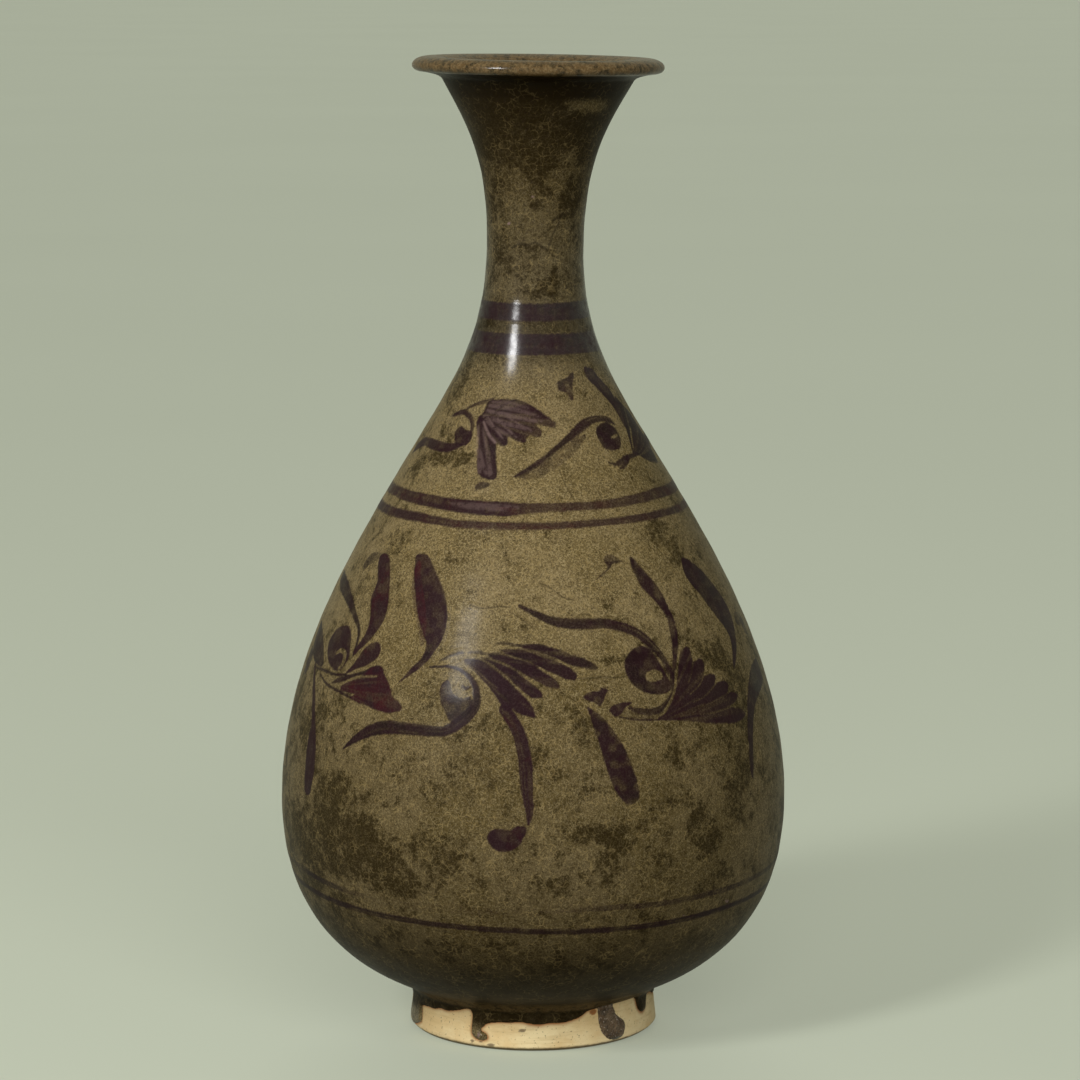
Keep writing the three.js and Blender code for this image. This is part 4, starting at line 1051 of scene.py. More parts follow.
# The marks of each deposit, as they lie on the painted front
LEFT_SPRAY = [
    area([(-83.9, 138.9), (-71.2, 137.2), (-63.8, 134.1), (-58.4, 130.7), (-54.5, 127.8), (-53, 125.9),
        (-52.3, 123), (-52.7, 119.8), (-53.3, 119.6), (-53.3, 122.8), (-54.5, 125.9), (-57.5, 128),
        (-62.9, 130.7), (-68.9, 132.6), (-77.9, 134.7), (-83.3, 136.8)], 0.93, 0.3),
    area([(-57.9, 147), (-62.2, 147), (-64.5, 145.9), (-66.3, 142.9), (-64, 141.6), (-62.6, 143),
        (-60.9, 143.7), (-57.9, 145.5)], 0.7, 0.2, 0.4),
    area([(-56.6, 147.2), (-54.4, 147.2), (-51.5, 145.4), (-48.4, 141), (-46.1, 136.5), (-45, 132.5),
        (-45.2, 129.5), (-46.6, 126.3), (-48.5, 123.5), (-50.8, 121.1), (-52.9, 118.7), (-53.1, 120.6),
        (-51.6, 123.3), (-50.6, 125.6), (-50.6, 128.5), (-51.7, 131.7), (-53.8, 135.2), (-53.7, 137.6),
        (-54.3, 140.3), (-57.2, 144), (-58.2, 146.5)], 0.97, 0.7),
    area([(-65.4, 124.3), (-63.3, 125.7), (-60, 126.4), (-57.7, 125.6), (-56, 123.4), (-55.1, 120.8),
        (-54.4, 118.8), (-54.8, 116.7), (-56.6, 114.4), (-59.3, 113.8), (-63, 115.2), (-65.9, 117.5),
        (-67.5, 120.7)], 0.96, 0.5),
    lift([(-57.6, 114.4, 0.4), (-56.3, 116.3, 1.3), (-56.6, 118.8, 1.3), (-58.8, 119.6, 1.1),
        (-60.8, 118.5, 0.7)]),
    area([(-82, 124.2), (-72.5, 120.5), (-67, 115.9), (-66.3, 113.5), (-69.3, 113.3), (-73.4, 113.9),
        (-79.1, 116.3), (-82, 119.8)], 0.95, 0.3),
    area([(-79.6, 108.6), (-81.2, 113), (-81.5, 116.6), (-76.4, 114.7), (-76.5, 111.8),
        (-77.6, 109.4)], 0.9, 0.3),
    area([(-44.5, 124.1), (-43.1, 122.5), (-43.1, 120.7), (-44.4, 118.8), (-46.9, 117.1), (-50.2, 115.6),
        (-52.5, 114.2), (-54, 113.9), (-51.9, 116.5), (-50.5, 119.1), (-49.1, 121.7),
        (-46.9, 123.5)], 0.96, 0.7),
    area([(-58.7, 110.2), (-56.9, 112), (-52.4, 113.8), (-47.1, 115.7), (-43.7, 117.6), (-41.4, 117.7),
        (-40.3, 116.3), (-43.3, 115.2), (-46.8, 114.7), (-51, 113), (-55, 111.1)], 0.95, 0.35),
    area([(-46.8, 114.8), (-44.8, 117), (-41.6, 117.9), (-39.9, 116.2), (-38.2, 114.4), (-36.9, 112.5),
        (-35.8, 110.3), (-34, 109.2), (-32.7, 108), (-32.8, 106.6), (-34.1, 106.1), (-36.2, 105.5),
        (-39.2, 105.7), (-43.4, 106.5), (-47.8, 107.1), (-50, 107.8), (-48.3, 108.9), (-53, 109),
        (-54.4, 109.8), (-53.7, 110.7), (-50.7, 112.4)], 0.98, 0.8, 0.1, (-56, 110)),
    lift([(-53, 111.7, 0.3), (-47, 114, 0.5), (-42, 114.9, 0.4)], 0.6),
    stroke([(-66, 111.4, 0.6), (-61, 109.6, 0.9), (-54.5, 108.7, 0.9), (-49.6, 107.9, 0.7)], 0.9, 0.3),
    stroke([(-71.7, 112.4, 0.5), (-64.4, 112.9, 0.9), (-58.7, 112.8, 0.9), (-53.3, 113.6, 0.8)], 0.95, 0.3),
    stroke([(-71.5, 113, 1.2), (-67.7, 107.2, 2), (-64.6, 102.1, 2.1), (-62.8, 97.5, 2.8), (-62, 93.4, 5.2),
        (-61.3, 89.3, 6.1), (-61, 84, 6), (-61, 79.5, 4.6)], 0.97, 0.55),
]
LEFT_LEAF = [
    area([(-40.9, 148.4), (-38.2, 148.9), (-36.1, 148.6), (-33, 146.1), (-30.1, 143.3), (-27.4, 140.2),
        (-25.4, 136.7), (-24.3, 133.2), (-24.1, 129.6), (-24.6, 126.6), (-25.6, 124.4), (-26.9, 121.8),
        (-29.4, 118.7), (-32.5, 115.9), (-35, 113.8), (-33.3, 116.5), (-31.6, 118.9), (-29.8, 120.9),
        (-29, 123.1), (-29.1, 125.4), (-30.2, 127.3), (-32.1, 129.9), (-34.3, 133.7), (-36.6, 138.1),
        (-38.7, 141.9), (-40.3, 145.8)], 0.97, 0.55),
    stroke([(-38.8, 146, 2), (-37.2, 141, 3.6), (-34.2, 135.5, 4), (-31.6, 130.5, 3),
        (-30.2, 125.5, 1.6)], 0.5, 0.9),
    stroke([(-31.8, 118.4, 0.5), (-28.6, 121.6, 1.2), (-27.4, 125, 1)], 0.2, 0),
]
CENTRE_SPRAY = [
    stroke([(-26.7, 119.2, 0.5), (-23.9, 119.6, 0.7), (-21.4, 119.8, 0.9), (-19, 119.3, 1.1),
        (-16.9, 118.3, 1.3), (-15.2, 116.8, 1.6), (-14, 114.7, 2), (-13.5, 112.3, 2.4), (-13.6, 109.8, 2.8),
        (-14.6, 107.9, 3.2), (-16.1, 106, 3.4), (-17.8, 104.3, 3.3), (-19.5, 102.9, 3), (-21.6, 102.1, 2.9),
        (-26, 102, 3.2), (-31.3, 102, 3.5), (-36.1, 101.6, 3.8), (-40.3, 100.1, 3.4), (-43.8, 97.8, 2.6),
        (-46.6, 95.4, 1.5), (-48.5, 93.5, 0.5)], 0.96, 0.35, 0.12),
    area([(-22.9, 114.5), (-21.4, 116.2), (-20.5, 115.5), (-20, 113.5), (-18.5, 112), (-16.6, 111.5),
        (-15.1, 112.2), (-14.4, 110.6), (-14.8, 108.1), (-16.5, 106), (-18.5, 104.6), (-20.1, 105.7),
        (-21.6, 108.5), (-22.6, 110.4)], 0.9, 0.3, 0.2),
    area([(-15.5, 121.9), (-10.5, 123.2), (-6, 124.6), (-1, 126), (4, 125.4), (8, 123.3), (4.5, 121.8),
        (1, 120), (-2, 117.6), (-4.5, 115), (-7.5, 113.5), (-11, 117.5)], 0.62, 0.3, 0.4),
    stroke([(-17.3, 114.9, 0.6), (-16.3, 114.2, 1.1), (-15.5, 114.6, 0.7)], 0.9, 0.3),
    area([(-17.9, 121.8), (-16.1, 122.2), (-13.5, 122), (-10.5, 120.5), (-8.1, 118.5), (-6.2, 116.8),
        (-3.9, 114.6), (-2.1, 112.6), (-0.4, 110.4), (0.5, 108.4), (0.6, 106.9), (-0.5, 106.9),
        (-2.3, 107.4), (-3.8, 108.2), (-4.8, 109.3), (-5.2, 108.7), (-6.6, 108.5), (-7.7, 110.3),
        (-9.2, 112.8), (-10.9, 115), (-12.9, 117.2), (-15.2, 119.4),
        (-16.9, 120.6)], 0.98, 0.5, 0.16, (-18, 122)),
    area([(-12.2, 122.2), (-9, 121.5), (-6.7, 120.6), (-4.4, 119.4), (-2.5, 117.8), (-0.6, 116.4),
        (0.8, 115.2), (2, 113.8), (2.4, 112.2), (1.2, 112), (-0.2, 112.2), (-1.7, 113.2), (-3.2, 114.8),
        (-4.7, 116.2), (-6.2, 117.8), (-8.1, 119.3), (-10.5, 121.1)], 0.98, 0.45, 0.12, (-16, 122.5)),
    area([(-11.1, 123.7), (-7.6, 123.6), (-5.3, 122.8), (-2.2, 122.1), (0.1, 121.1), (2.4, 119.4),
        (4.5, 118), (6.2, 116.4), (6.6, 114.7), (5.6, 114.6), (3.4, 115.2), (1.2, 116.4), (-0.6, 117.4),
        (-2.9, 119), (-5.2, 120.4), (-7.5, 121.6), (-10.2, 122.5)], 0.98, 0.45, 0.12, (-16, 123)),
    area([(-8.5, 124.9), (-5.4, 125.2), (-2.3, 124.9), (0.8, 123.7), (3.1, 122.8), (5.4, 122.2),
        (7.6, 121.2), (9.9, 119.7), (11, 118), (10.3, 116.8), (8.2, 117.1), (6, 118.2), (3.8, 119.2),
        (1.6, 120.4), (-0.6, 121.7), (-3, 122.6), (-6.1, 123.6)], 0.97, 0.4, 0.2, (-15, 124)),
    area([(-4.3, 126.4), (-0.7, 126.7), (2.4, 126.5), (4.7, 125.7), (7, 125), (9.4, 123.9), (12.1, 123),
        (14.3, 121.9), (16.2, 120.4), (16.6, 119.5), (14.9, 119.3), (12.6, 119.8), (10, 120.5), (8, 121.5),
        (6.2, 122.6), (3.9, 123.6), (0.8, 124.7), (-2.3, 125.5)], 0.95, 0.35, 0.28, (-12, 125)),
    stroke([(-24.1, 121.1, 0.5), (-21.8, 122.5, 0.8), (-19.1, 123.6, 0.8), (-17.9, 123.7, 0.4)], 0.8, 0.2),
    stroke([(-16.7, 123.9, 0.5), (-13.9, 124, 1), (-11.1, 123.6, 0.9), (-8.4, 124.1, 0.6)], 0.75, 0.2),
    stroke([(-9.8, 126.4, 0.5), (-7.4, 126.7, 1), (-5.4, 126.4, 0.9), (-3.5, 126, 0.6)], 0.8, 0.2),
    lift([(-17.4, 121.1, 0.2), (-14.2, 119.1, 0.2), (-11.4, 116.8, 0.2), (-8.8, 114.7, 0.1)], 0.35),
    stroke([(-6.6, 109, 3.2), (-4.8, 106.1, 3.5), (-3.3, 102.9, 3.6), (-2.4, 99.6, 3.8), (-1.8, 96.3, 3.8),
        (-1.5, 92.7, 3.9), (-1.2, 86.3, 3.4), (-0.7, 81.1, 2.4), (-0.9, 77.4, 0.9)], 0.96, 0.6),
]
CENTRE_BLOB = [
    area([(-9.8, 72.6), (-9.2, 75.2), (-7.4, 76), (-5, 75.7), (-3, 76.9), (-1.2, 76.2), (-2, 73.4),
        (-3, 71), (-5.4, 69.4), (-8, 69.8)], 0.98, 0.62),
]
RIGHT_TICK = [
    area([(19.9, 143.3), (21.4, 144.5), (24.1, 146.2), (23.4, 147.7), (23.8, 149.1), (26.2, 149.7),
        (28.1, 148.6), (30, 147.6), (28.4, 147.1), (26.2, 147), (24.5, 145.6),
        (22.1, 144.3)], 0.9, 0.3, 0.3),
]
RIGHT_SPRAY = [
    area([(33.1, 148.5), (34.3, 148), (36.4, 145.1), (38.9, 141.9), (40.8, 138.7), (41.5, 135),
        (42.3, 131.5), (42.4, 128.1), (41.6, 124.8), (39.9, 120.9), (38.6, 117.7), (37.4, 115.1),
        (36.7, 115.2), (37.8, 119.2), (38.9, 123.1), (39.5, 127), (39.9, 131.1), (38.7, 133.9),
        (37.1, 136.7), (34.3, 140), (33.2, 143.1), (32.5, 145.8)], 0.95, 0.45, 0.2),
    area([(23.7, 120.6), (24.7, 122.3), (26.4, 123.9), (28.7, 124.7), (30.7, 124.4), (32.4, 123.3),
        (33.6, 121.9), (34.6, 120), (35.6, 117.6), (36.1, 115.3), (36.2, 113.5), (35.4, 112), (33.5, 111.3),
        (31, 111.3), (28.8, 111.9), (26.7, 113), (25.1, 114.7), (24.1, 116.6),
        (23.6, 118.4)], 0.97, 0.4, 0.12),
    lift([(30.2, 116.3, 2.6), (31.4, 116.4, 3.1), (32.9, 116.3, 2.3)], 0.97),
    lift([(32.3, 123.6, 0.4), (33.8, 120.7, 0.5), (34.9, 117.9, 0.5), (35.8, 114.9, 0.4)], 0.85),
    stroke([(-3.7, 136.6, 0.9), (0.5, 134.7, 1.8), (5.2, 132.7, 2.6), (9.9, 131.9, 3), (15.4, 131.6, 2.9),
        (20.3, 131.4, 2.8), (25.1, 130.1, 2.8), (29.2, 128.1, 2.8), (32.2, 125.1, 2.7), (34.5, 122, 2.1),
        (35.8, 119.5, 1.6), (36.8, 116.5, 1.6), (36.8, 113.9, 1.6), (36, 111.2, 1.6), (34.3, 109.2, 1.8),
        (31.7, 107.3, 1.9), (28.4, 106.8, 1.7), (25.5, 107.5, 1.5), (23.5, 108.4, 1)], 0.93, 0.3, 0.25),
    area([(30.3, 104.4), (32.4, 105.9), (34.7, 108.3), (36.1, 110.8), (37.5, 113.3), (38.6, 115.9),
        (39.7, 118.9), (41, 121.5), (42.6, 122.6), (44.2, 122.9), (44.9, 121.6), (44.7, 119.4),
        (45.1, 118.6), (47.5, 119.2), (48.6, 117.9), (48.1, 115.9), (47.4, 114.6), (48.2, 114.3),
        (50, 114.6), (51.4, 113.8), (51.3, 112.6), (50.5, 111.4), (52, 111.8), (54.4, 111.7), (55.8, 110.5),
        (55.1, 108.9), (54.4, 108.1), (56.7, 108.2), (58.6, 107.1), (58.6, 106.2), (57, 105.3),
        (54.8, 104.5), (55.4, 104), (58.1, 103.2), (60, 101.9), (59.9, 100.7), (57.6, 99.8), (53.9, 99.7),
        (48.9, 100.5), (44.5, 101.4), (40.5, 102.5), (35.7, 103.6)], 0.96, 0.6, 0.22, (30, 104)),
    lift([(38.3, 116.9, 0.5), (37.2, 113.4, 0.6), (35.8, 110.4, 0.6), (33.8, 108, 0.5),
        (31.7, 105.9, 0.4)], 0.85),
    lift([(44.7, 118.7, 0.4), (43.5, 116.1, 0.3), (41.4, 113.2, 0.2)], 0.35),
    lift([(47.4, 114.4, 0.3), (44.8, 112.1, 0.3), (41.2, 110.1, 0.2)], 0.35),
    lift([(50.4, 111.2, 0.3), (45.9, 108.9, 0.2), (41.7, 107.8, 0.2)], 0.35),
    lift([(54.4, 108, 0.3), (49, 107, 0.2), (43.4, 106.1, 0.2)], 0.35),
    lift([(54.8, 104.4, 0.4), (48.7, 103.9, 0.3), (43, 104.1, 0.2)], 0.4),
    area([(21.7, 107.9), (24.3, 108.5), (28.6, 107.7), (31.8, 107.7), (32.5, 106.7), (30.4, 104.8),
        (26, 104.8), (22, 106.3)], 0.45, 0.2, 0.5),
    stroke([(20.7, 106.2, 0.5), (23.9, 105.2, 0.6), (27.3, 104.7, 0.6), (30.8, 104.3, 0.6)], 0.85, 0.3),
    area([(18.2, 108.1), (19.2, 109.4), (20.9, 109.9), (23.7, 110.1), (24.2, 109.6), (22.6, 108.7),
        (21.2, 107), (19.7, 106.2), (18.6, 107.2)], 0.93, 0.45),
]
RIGHT_BLOB = [
    area([(12.2, 111.9), (12.7, 112.9), (14.2, 113.6), (16, 113.6), (17.1, 114.4), (18.7, 113.6),
        (17.8, 112.4), (17.2, 110.9), (16.1, 109.4), (15, 110.3), (13.4, 110.9)], 0.94, 0.4, 0.2),
]
HANGING_LEAF = [
    area([(12.9, 109.3), (14.2, 108.7), (15.8, 107.1), (17.6, 104.8), (19.2, 101.8), (20.6, 99),
        (21.7, 95.9), (22.7, 92), (23.5, 88.5), (23.9, 85.2), (23.6, 82.9), (21.9, 81.7), (20.3, 82.6),
        (18.7, 85), (17.7, 87.7), (16.8, 91.2), (15.9, 95.4), (15.2, 99), (14.3, 102.9),
        (13.6, 106)], 0.95, 0.4, 0.25),
]
FAR_LEAF = [
    area([(55.4, 146), (58.1, 145.6), (61.1, 143.9), (64.8, 141), (67.7, 137), (70.1, 132.4), (70.9, 128.7),
        (69.9, 125.3), (67.5, 121.4), (65.2, 118.3), (61.1, 114.1), (61, 115.6), (62.7, 118.8), (64, 122.1),
        (63, 125.8), (60.9, 128.9), (59, 132), (57.1, 135.8), (54.8, 138.8),
        (53.7, 142.4)], 0.97, 0.4, 0.1),
]
EDGE_STROKE = [
    area([(79, 113.2), (75, 113.4), (71, 112.4), (67, 109.6), (63.6, 105.6), (61.6, 101.6), (59.8, 97),
        (58.9, 92), (58.2, 88), (58.2, 84), (59, 82.6), (59.8, 86), (60.8, 91), (62.4, 96), (65, 100.6),
        (69, 103.6), (74, 105.4), (79, 107.6)], 0.95, 0.35),
    area([(72, 125.6), (75, 127.8), (79, 127), (80.6, 123.6), (79, 120.6), (76.4, 121.6), (76.6, 124),
        (74, 124)], 0.8, 0.25, 0.4),
]
SHOULDER_LEFT = [
    area([(-79, 173.6), (-80.2, 175.8), (-74.4, 178.7), (-64.8, 179.2), (-56.8, 179.1), (-48.3, 178.8),
        (-41.9, 179.2), (-36.8, 178.8), (-41, 177.4), (-45.5, 176.3), (-50.5, 176.1), (-58.8, 176.3),
        (-67.7, 176.7), (-74.4, 175.2)], 0.95, 0.55),
    area([(-45.1, 180.4), (-46.6, 182.3), (-43.9, 183.7), (-39.6, 182.9), (-36.2, 182.7), (-33.9, 181.8),
        (-34, 179.9), (-36.6, 178.5), (-42, 178.5)], 0.96, 0.4),
    stroke([(-35.3, 182.6, 1), (-36.2, 184.3, 1.3), (-39.2, 186.2, 1.6), (-45.3, 187.4, 1.6),
        (-50.2, 187.1, 1.5), (-54.4, 186.1, 0.7)], 0.93, 0.4),
    stroke([(-44.3, 188.6, 0.8), (-38.3, 190, 1), (-30.9, 191, 1.1), (-26.9, 191.6, 1)], 0.88, 0.4, 0.3),
    area([(-33, 184.8), (-34.2, 186.4), (-31.4, 188.1), (-30.4, 190.4), (-26.9, 191.6), (-17.1, 192),
        (-7.6, 191.6), (0, 190.1), (7, 187.9), (12.2, 185.9), (13.2, 184.6), (11.8, 184.1), (5.2, 184.7),
        (0.6, 185.3), (4.4, 183.7), (4.7, 182.1), (2.4, 181.6), (-1.3, 182.1), (-3.2, 181.5), (-3.7, 180.2),
        (-6.1, 180.1), (-9.9, 180.9), (-13.2, 181.7), (-13, 179.5), (-15.6, 179.1), (-18.9, 179.7),
        (-22.2, 181.2), (-25.1, 183.1), (-29.5, 185.5)], 0.97, 0.45, 0.16, (-36, 187)),
    area([(-34.1, 185.7), (-31.1, 186.7), (-25.8, 184.3), (-20.8, 181.2), (-18.8, 179.4), (-17.5, 175.6),
        (-15.9, 171.8), (-16.5, 170), (-20.2, 170), (-23.9, 170.9), (-26.2, 172.8), (-28, 176.5),
        (-29.5, 180.4), (-32.8, 183.5)], 0.97, 0.5, 0.14, (-34, 190)),
    # Painted highlights: pale streaks where the thick pigment catches the light
    pale_wear_and_highlight([(-29.5, 185.5, 0.4), (-24.8, 182.4, 0.6), (-19.4, 179.9, 0.5)], 0.7),
    pale_wear_and_highlight([(-27.5, 186.8, 0.3), (-21.3, 183.8, 0.4), (-16, 181.2, 0.3)], 0.5),
    pale_wear_and_highlight([(-22.9, 187.3, 0.3), (-14.5, 183.9, 0.4), (-8.8, 181.6, 0.3)], 0.45),
    pale_wear_and_highlight([(-20.3, 188.3, 0.3), (-9.5, 185.6, 0.3), (-1, 183.4, 0.3)], 0.4),
    pale_wear_and_highlight([(-30, 187.2, 0.8), (-18, 185.6, 1.1), (-3, 183.9, 0.8)], 0.34),
    pale_wear_and_highlight([(-29, 188.5, 0.8), (-14, 187.4, 1.2), (5, 185.8, 0.7)], 0.36),
    pale_wear_and_highlight([(-28, 189.9, 0.8), (-12, 189.2, 1.1), (3, 187.3, 0.6)], 0.3),
    pale_wear_and_highlight([(-28.6, 186, 0.7), (-20, 183.6, 0.9), (-11.5, 181.9, 0.6)], 0.3),
    pale_wear_and_highlight([(-26.5, 190.9, 0.5), (-14, 190.8, 0.8), (-3, 189.5, 0.5)], 0.25),
    pale_wear_and_highlight([(-32, 184, 0.6), (-28.2, 178, 1.1), (-24.3, 172.2, 1.3)], 0.3),
    pale_wear_and_highlight([(-28.5, 183.5, 0.5), (-22.6, 177, 1), (-19, 171.5, 1.2)], 0.3),
    pale_wear_and_highlight([(-29, 180, 0.5), (-24.5, 175, 0.9), (-21, 171.5, 0.7)], 0.3),
]
SHOULDER_DOT = [
    area([(-25, 167.7), (-24.1, 168.7), (-21.1, 169.4), (-18.3, 168.9), (-19, 167.9), (-21.9, 167.3),
        (-24.1, 167)], 0.8, 0.3),
]
SHOULDER_RIGHT = [
    area([(-6.3, 170.7), (1.9, 170.6), (8.3, 172.5), (15.5, 175), (22.5, 178), (29, 181.3), (25.7, 181.8),
        (12.8, 178.2), (2, 173.2)], 0.6, 0.3, 0.35),
    stroke([(-8.1, 171, 0.6), (-4.3, 172, 1.4), (0.9, 174, 1.6), (6.6, 176.3, 1.5), (13.1, 179.1, 1.5),
        (20.2, 181.6, 2), (28.7, 184.3, 2.8), (36, 185.6, 2.2), (43.3, 185.8, 1.8), (48.4, 185.2, 1.9),
        (51.9, 183.9, 0.6)], 0.93, 0.35),
    area([(36.4, 182.7), (39.8, 184.2), (45.7, 184.6), (50.7, 183.1), (51.9, 181), (50.8, 178.8),
        (48, 177.3), (42.5, 176.9), (38, 177.8), (36.2, 180.1)], 0.97, 0.35),
    lift([(45.4, 180.4, 0.4), (47.8, 180.6, 0.7), (50.2, 180.9, 0.4)], 0.8),
]
SHOULDER_LEAF = [
    area([(42.9, 200), (46.8, 200.3), (52.5, 199.3), (57.4, 196.8), (63.9, 193.5), (65.8, 190.7),
        (68.2, 188.2), (66.9, 185.2), (62.3, 182.1), (60.4, 182.6), (60, 184.2), (59.8, 185.6),
        (58.5, 188.4), (55, 190.9), (49.8, 194.1), (43.7, 196.9)], 0.97, 0.45, 0.1),
]
SHOULDER_FAN = [
    area([(66.5, 191), (73.7, 188), (79, 185.4), (81, 180.2), (80.2, 175.4), (77.4, 171.3), (68, 172.1),
        (60.4, 174.4), (56.2, 175.6), (58, 178.6), (61, 182.5), (64.5, 186.5)], 0.96, 0.3, 0.2, (55, 174)),
    lift([(57.8, 176.4, 0.2), (60.6, 178.8, 0.5), (66, 182, 0.4)], 0.7),
    stroke([(59.5, 175, 1.2), (55.1, 174.9, 1.3), (48.6, 174.4, 1.7), (42.1, 173.2, 1.2),
        (37.7, 173.9, 0.7)], 0.92, 0.35),
    stroke([(50.5, 174.4, 1.4), (46.5, 172.6, 1), (43, 172, 0.6)], 0.85, 0.35),
]
SHOULDER_MARK = [
    area([(18.3, 196.8), (25.3, 197.7), (31.3, 199.1), (31.9, 197.9), (29.6, 196), (28.7, 194.3),
        (27.6, 191.8), (25.4, 191.3), (23.6, 193.2), (18.1, 194.2), (17.3, 195.5)], 0.88, 0.35, 0.3),
]
BACK_SPRAY = RIGHT_SPRAY[:12]

# Hairlines of the crazing, small chips and two painted glints, which only the scene has
CRACKS = [
    [
        crack([(-18, 136.5), (-15, 135.7), (-12, 136), (-9, 136.4), (-6.5, 136.3)]),
        crack([(-6.5, 135), (-3.5, 133.5), (-1, 131.5)]),
    ],
    [crack([(2, 142.7), (4.5, 141.8), (7, 140.2), (9.5, 138.6), (12, 138)])],
    [crack([(12, 172.8), (13, 170.5), (14.2, 168.2), (16.5, 164.6)])],
    [crack([(10, 117.4), (13, 117), (17, 117.3), (21, 116.8), (25, 117.2)], 0.4)],
    [crack([(-39, 137), (-36, 136.4), (-33, 136.6), (-30, 136.2)], 0.4)],
    [
        crack([(20, 242.2), (24, 243.5), (28, 243.2), (32, 244.6), (36.5, 244)], 0.7, 0.6),
        crack([(-28, 234.8), (-18, 236), (-9, 235.6), (0, 236.4), (9, 235), (15, 234.4)], 0.7, 0.5),
        crack([(15, 234.4), (19, 237.4), (22, 239.4), (26, 241), (29, 243.6)], 0.6, 0.45),
    ],
]
CHIPS_AND_GLINTS = [
    [pale_wear_and_highlight([(37, 46.2, 0.7), (38, 45.8, 0.9)], 1)],
    [pale_wear_and_highlight([(50.6, 48.2, 0.8), (51.4, 47.6, 0.9)], 1)],
    # Painted highlights: two pale glints on the neck
    [pale_wear_and_highlight([(-4, 249.8, 0.6), (-2.6, 249.6, 0.6)], 1)],
    [pale_wear_and_highlight([(-33.4, 241.7, 0.6), (-31.6, 241.9, 0.6)], 1)],
]

for paint_name, paint_node, paint_steps, paint_turn in (
    ("left_spray_paint", "belly_left_spray", LEFT_SPRAY, 0),
    ("left_leaf_paint", "belly_left_leaf", LEFT_LEAF, 0),
    ("centre_spray_paint", "belly_centre_spray", CENTRE_SPRAY, 0),
    ("centre_blob_paint", "belly_centre_blob", CENTRE_BLOB, 0),
    ("right_tick_paint", "belly_right_tick", RIGHT_TICK, 0),
    ("right_spray_paint", "belly_right_spray", RIGHT_SPRAY, 0),
    ("right_blob_paint", "belly_right_blob", RIGHT_BLOB, 0),
    ("right_hanging_paint", "belly_right_hanging_leaf", HANGING_LEAF, 0),
    ("far_leaf_paint", "belly_far_leaf", FAR_LEAF, 0),
    ("edge_stroke_paint", "belly_edge_stroke", EDGE_STROKE, 0),
    ("shoulder_left_paint", "shoulder_left_spray", SHOULDER_LEFT, 0),
    ("shoulder_dot_paint", "shoulder_dot", SHOULDER_DOT, 0),
    ("shoulder_right_paint", "shoulder_right_spray", SHOULDER_RIGHT, 0),
    ("shoulder_leaf_paint", "shoulder_leaf", SHOULDER_LEAF, 0),
    ("shoulder_fan_paint", "shoulder_right_fan", SHOULDER_FAN, 0),
    ("shoulder_mark_paint", "shoulder_mark", SHOULDER_MARK, 0),
    ("back_spray_paint_one", "back_belly_spray_left", BACK_SPRAY, 100),
    ("back_spray_paint_two", "back_belly_spray_right", BACK_SPRAY, 170),
    ("back_hanging_paint_one", "back_belly_hanging_leaf_left", HANGING_LEAF, 100),
    ("back_hanging_paint_two", "back_belly_hanging_leaf_right", HANGING_LEAF, 170),
    ("back_edge_paint", "back_belly_edge_leaf", HANGING_LEAF, 232),
    ("back_leaf_paint", "back_belly_leaf", FAR_LEAF, 184),
    ("back_shoulder_leaf_paint", "back_shoulder_leaf", SHOULDER_LEAF, 62),
    ("back_shoulder_paint_one", "back_shoulder_spray_left", SHOULDER_LEFT, 154),
    ("back_shoulder_paint_two", "back_shoulder_spray_right", SHOULDER_LEFT, 240),
):
    paint(paint_name, paint_node, paint_steps, paint_turn)
for fault, groups in (("crack", CRACKS), ("chip", CHIPS_AND_GLINTS)):
    for number, fault_steps in enumerate(groups, 1):
        paint(f"glaze_{fault}_{number}", None, fault_steps, cell=FAULT_CELL)


# Floor, light and camera
SEEN_RAYS = ("Is Camera Ray", "Is Glossy Ray", "Is Transmission Ray")
PALE = rgb(224, 231, 207)
FLOOR_REACH = 60000
FLOOR_GLOW = 0.28
WORLD_SEEN = 0.49
WORLD_LEVEL = 0.12
VASE_MIDDLE = Vector((0, 0, 0.15))


def stage():
    """Pale floor that keeps the shadow: it glows for the rays that show it, and is darker for others."""
    m = Material("pale_floor", 0.9, 0.1)
    path = m.add("ShaderNodeLightPath").outputs
    camera_ray, glossy_ray, transmission_ray = (path[ray] for ray in SEEN_RAYS)
    seen = m.math("ADD", m.math("ADD", camera_ray, glossy_ray), transmission_ray, clamp=True)
    m.put(m.shader.inputs["Emission Color"], PALE)
    m.put(m.shader.inputs["Emission Strength"], m.math("MULTIPLY", seen, FLOOR_GLOW))
    pale = m.mix(m.noise(1.5), rgb(161, 166, 149), rgb(167, 172, 155))
    material = m.finish(m.mix(seen, rgb(112, 116, 100), pale))
    corners = [(x * FLOOR_REACH, y * FLOOR_REACH, 0) for x, y in ((-1, -1), (1, -1), (1, 1), (-1, 1))]
    solid_piece("floor", corners, [[0, 1, 2, 3]], material)


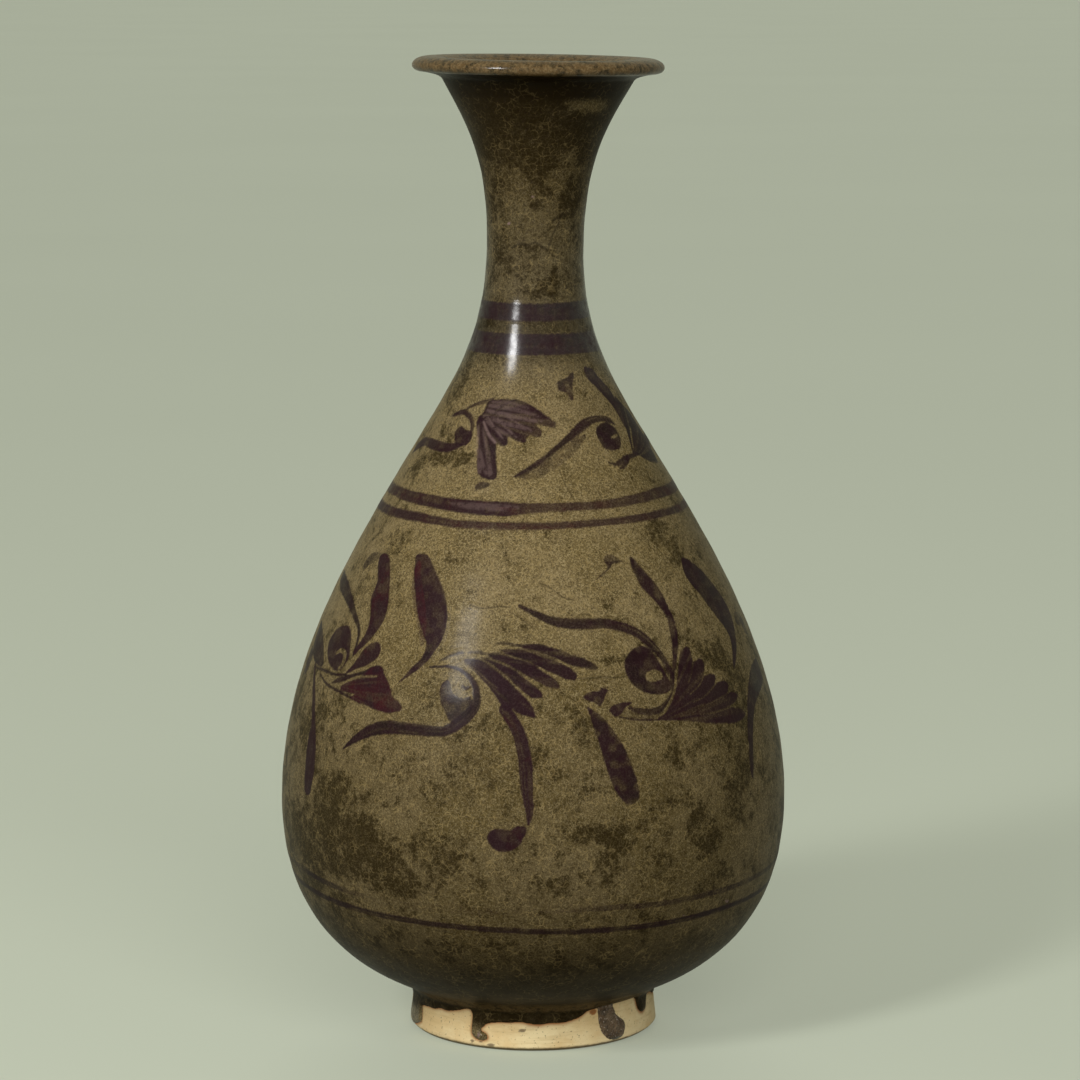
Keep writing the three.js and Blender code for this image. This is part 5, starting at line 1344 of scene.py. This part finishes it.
def lamp(name, heading, rise, level, kind, distance=1.5, **shape):
    """A lamp aimed at the vase. Level 1 lights a face that is turned to it as bright as its colour."""
    turn, tilt = np.radians(heading), np.radians(rise)
    away = Vector((np.cos(tilt) * np.sin(turn), -np.cos(tilt) * np.cos(turn), np.sin(tilt))) * distance
    data = bpy.data.lights.new(name, kind)
    for key, value in shape.items():
        setattr(data, key, value)
    data.energy = level * np.pi * (1 if kind == "SUN" else np.pi * distance ** 2)
    made = add_object(name, data)
    made.location = VASE_MIDDLE + away
    made.rotation_euler = (-away).to_track_quat("-Z", "Y").to_euler()
    made.visible_camera = False
    made.visible_glossy = kind == "AREA"


def world():
    """The same pale light all round, stronger for the rays that show it than for those that light."""
    made = bpy.data.worlds.new("studio")
    made.use_nodes = True
    nodes, links = made.node_tree.nodes, made.node_tree.links
    path = nodes.new("ShaderNodeLightPath").outputs
    level = None
    for ray in SEEN_RAYS:
        node = nodes.new("ShaderNodeMath")
        node.operation = "MULTIPLY_ADD"
        links.new(path[ray], node.inputs[0])
        node.inputs[1].default_value = WORLD_SEEN - WORLD_LEVEL
        node.inputs[2].default_value = WORLD_LEVEL
        if level:
            links.new(level, node.inputs[2])
        level = node.outputs[0]
    links.new(level, nodes["Background"].inputs["Strength"])
    nodes["Background"].inputs["Color"].default_value = PALE
    bpy.context.scene.world = made


def camera():
    """The camera as it was fitted to the outline and the painted rings of the photo."""
    data = bpy.data.cameras.new("camera")
    data.sensor_width = 36
    data.lens = 130.94
    data.clip_start = 0.05
    made = add_object("camera", data)
    made.location = (0.00206, -1.15579, 0.32498)
    made.rotation_euler = (np.radians(90 - 8.766), 0, 0)
    bpy.context.scene.camera = made


stage()
lamp("key", -40, 30, 0.6, "AREA", shape="RECTANGLE", size=0.24, size_y=0.5)
lamp("front", 12, 24, 0.54, "SUN", angle=np.radians(50))
lamp("back", 180, 14, 0.58, "SUN", angle=np.radians(40))
world()
camera()
bpy.context.scene.view_settings.view_transform = "Standard"
bpy.context.view_layer.update()
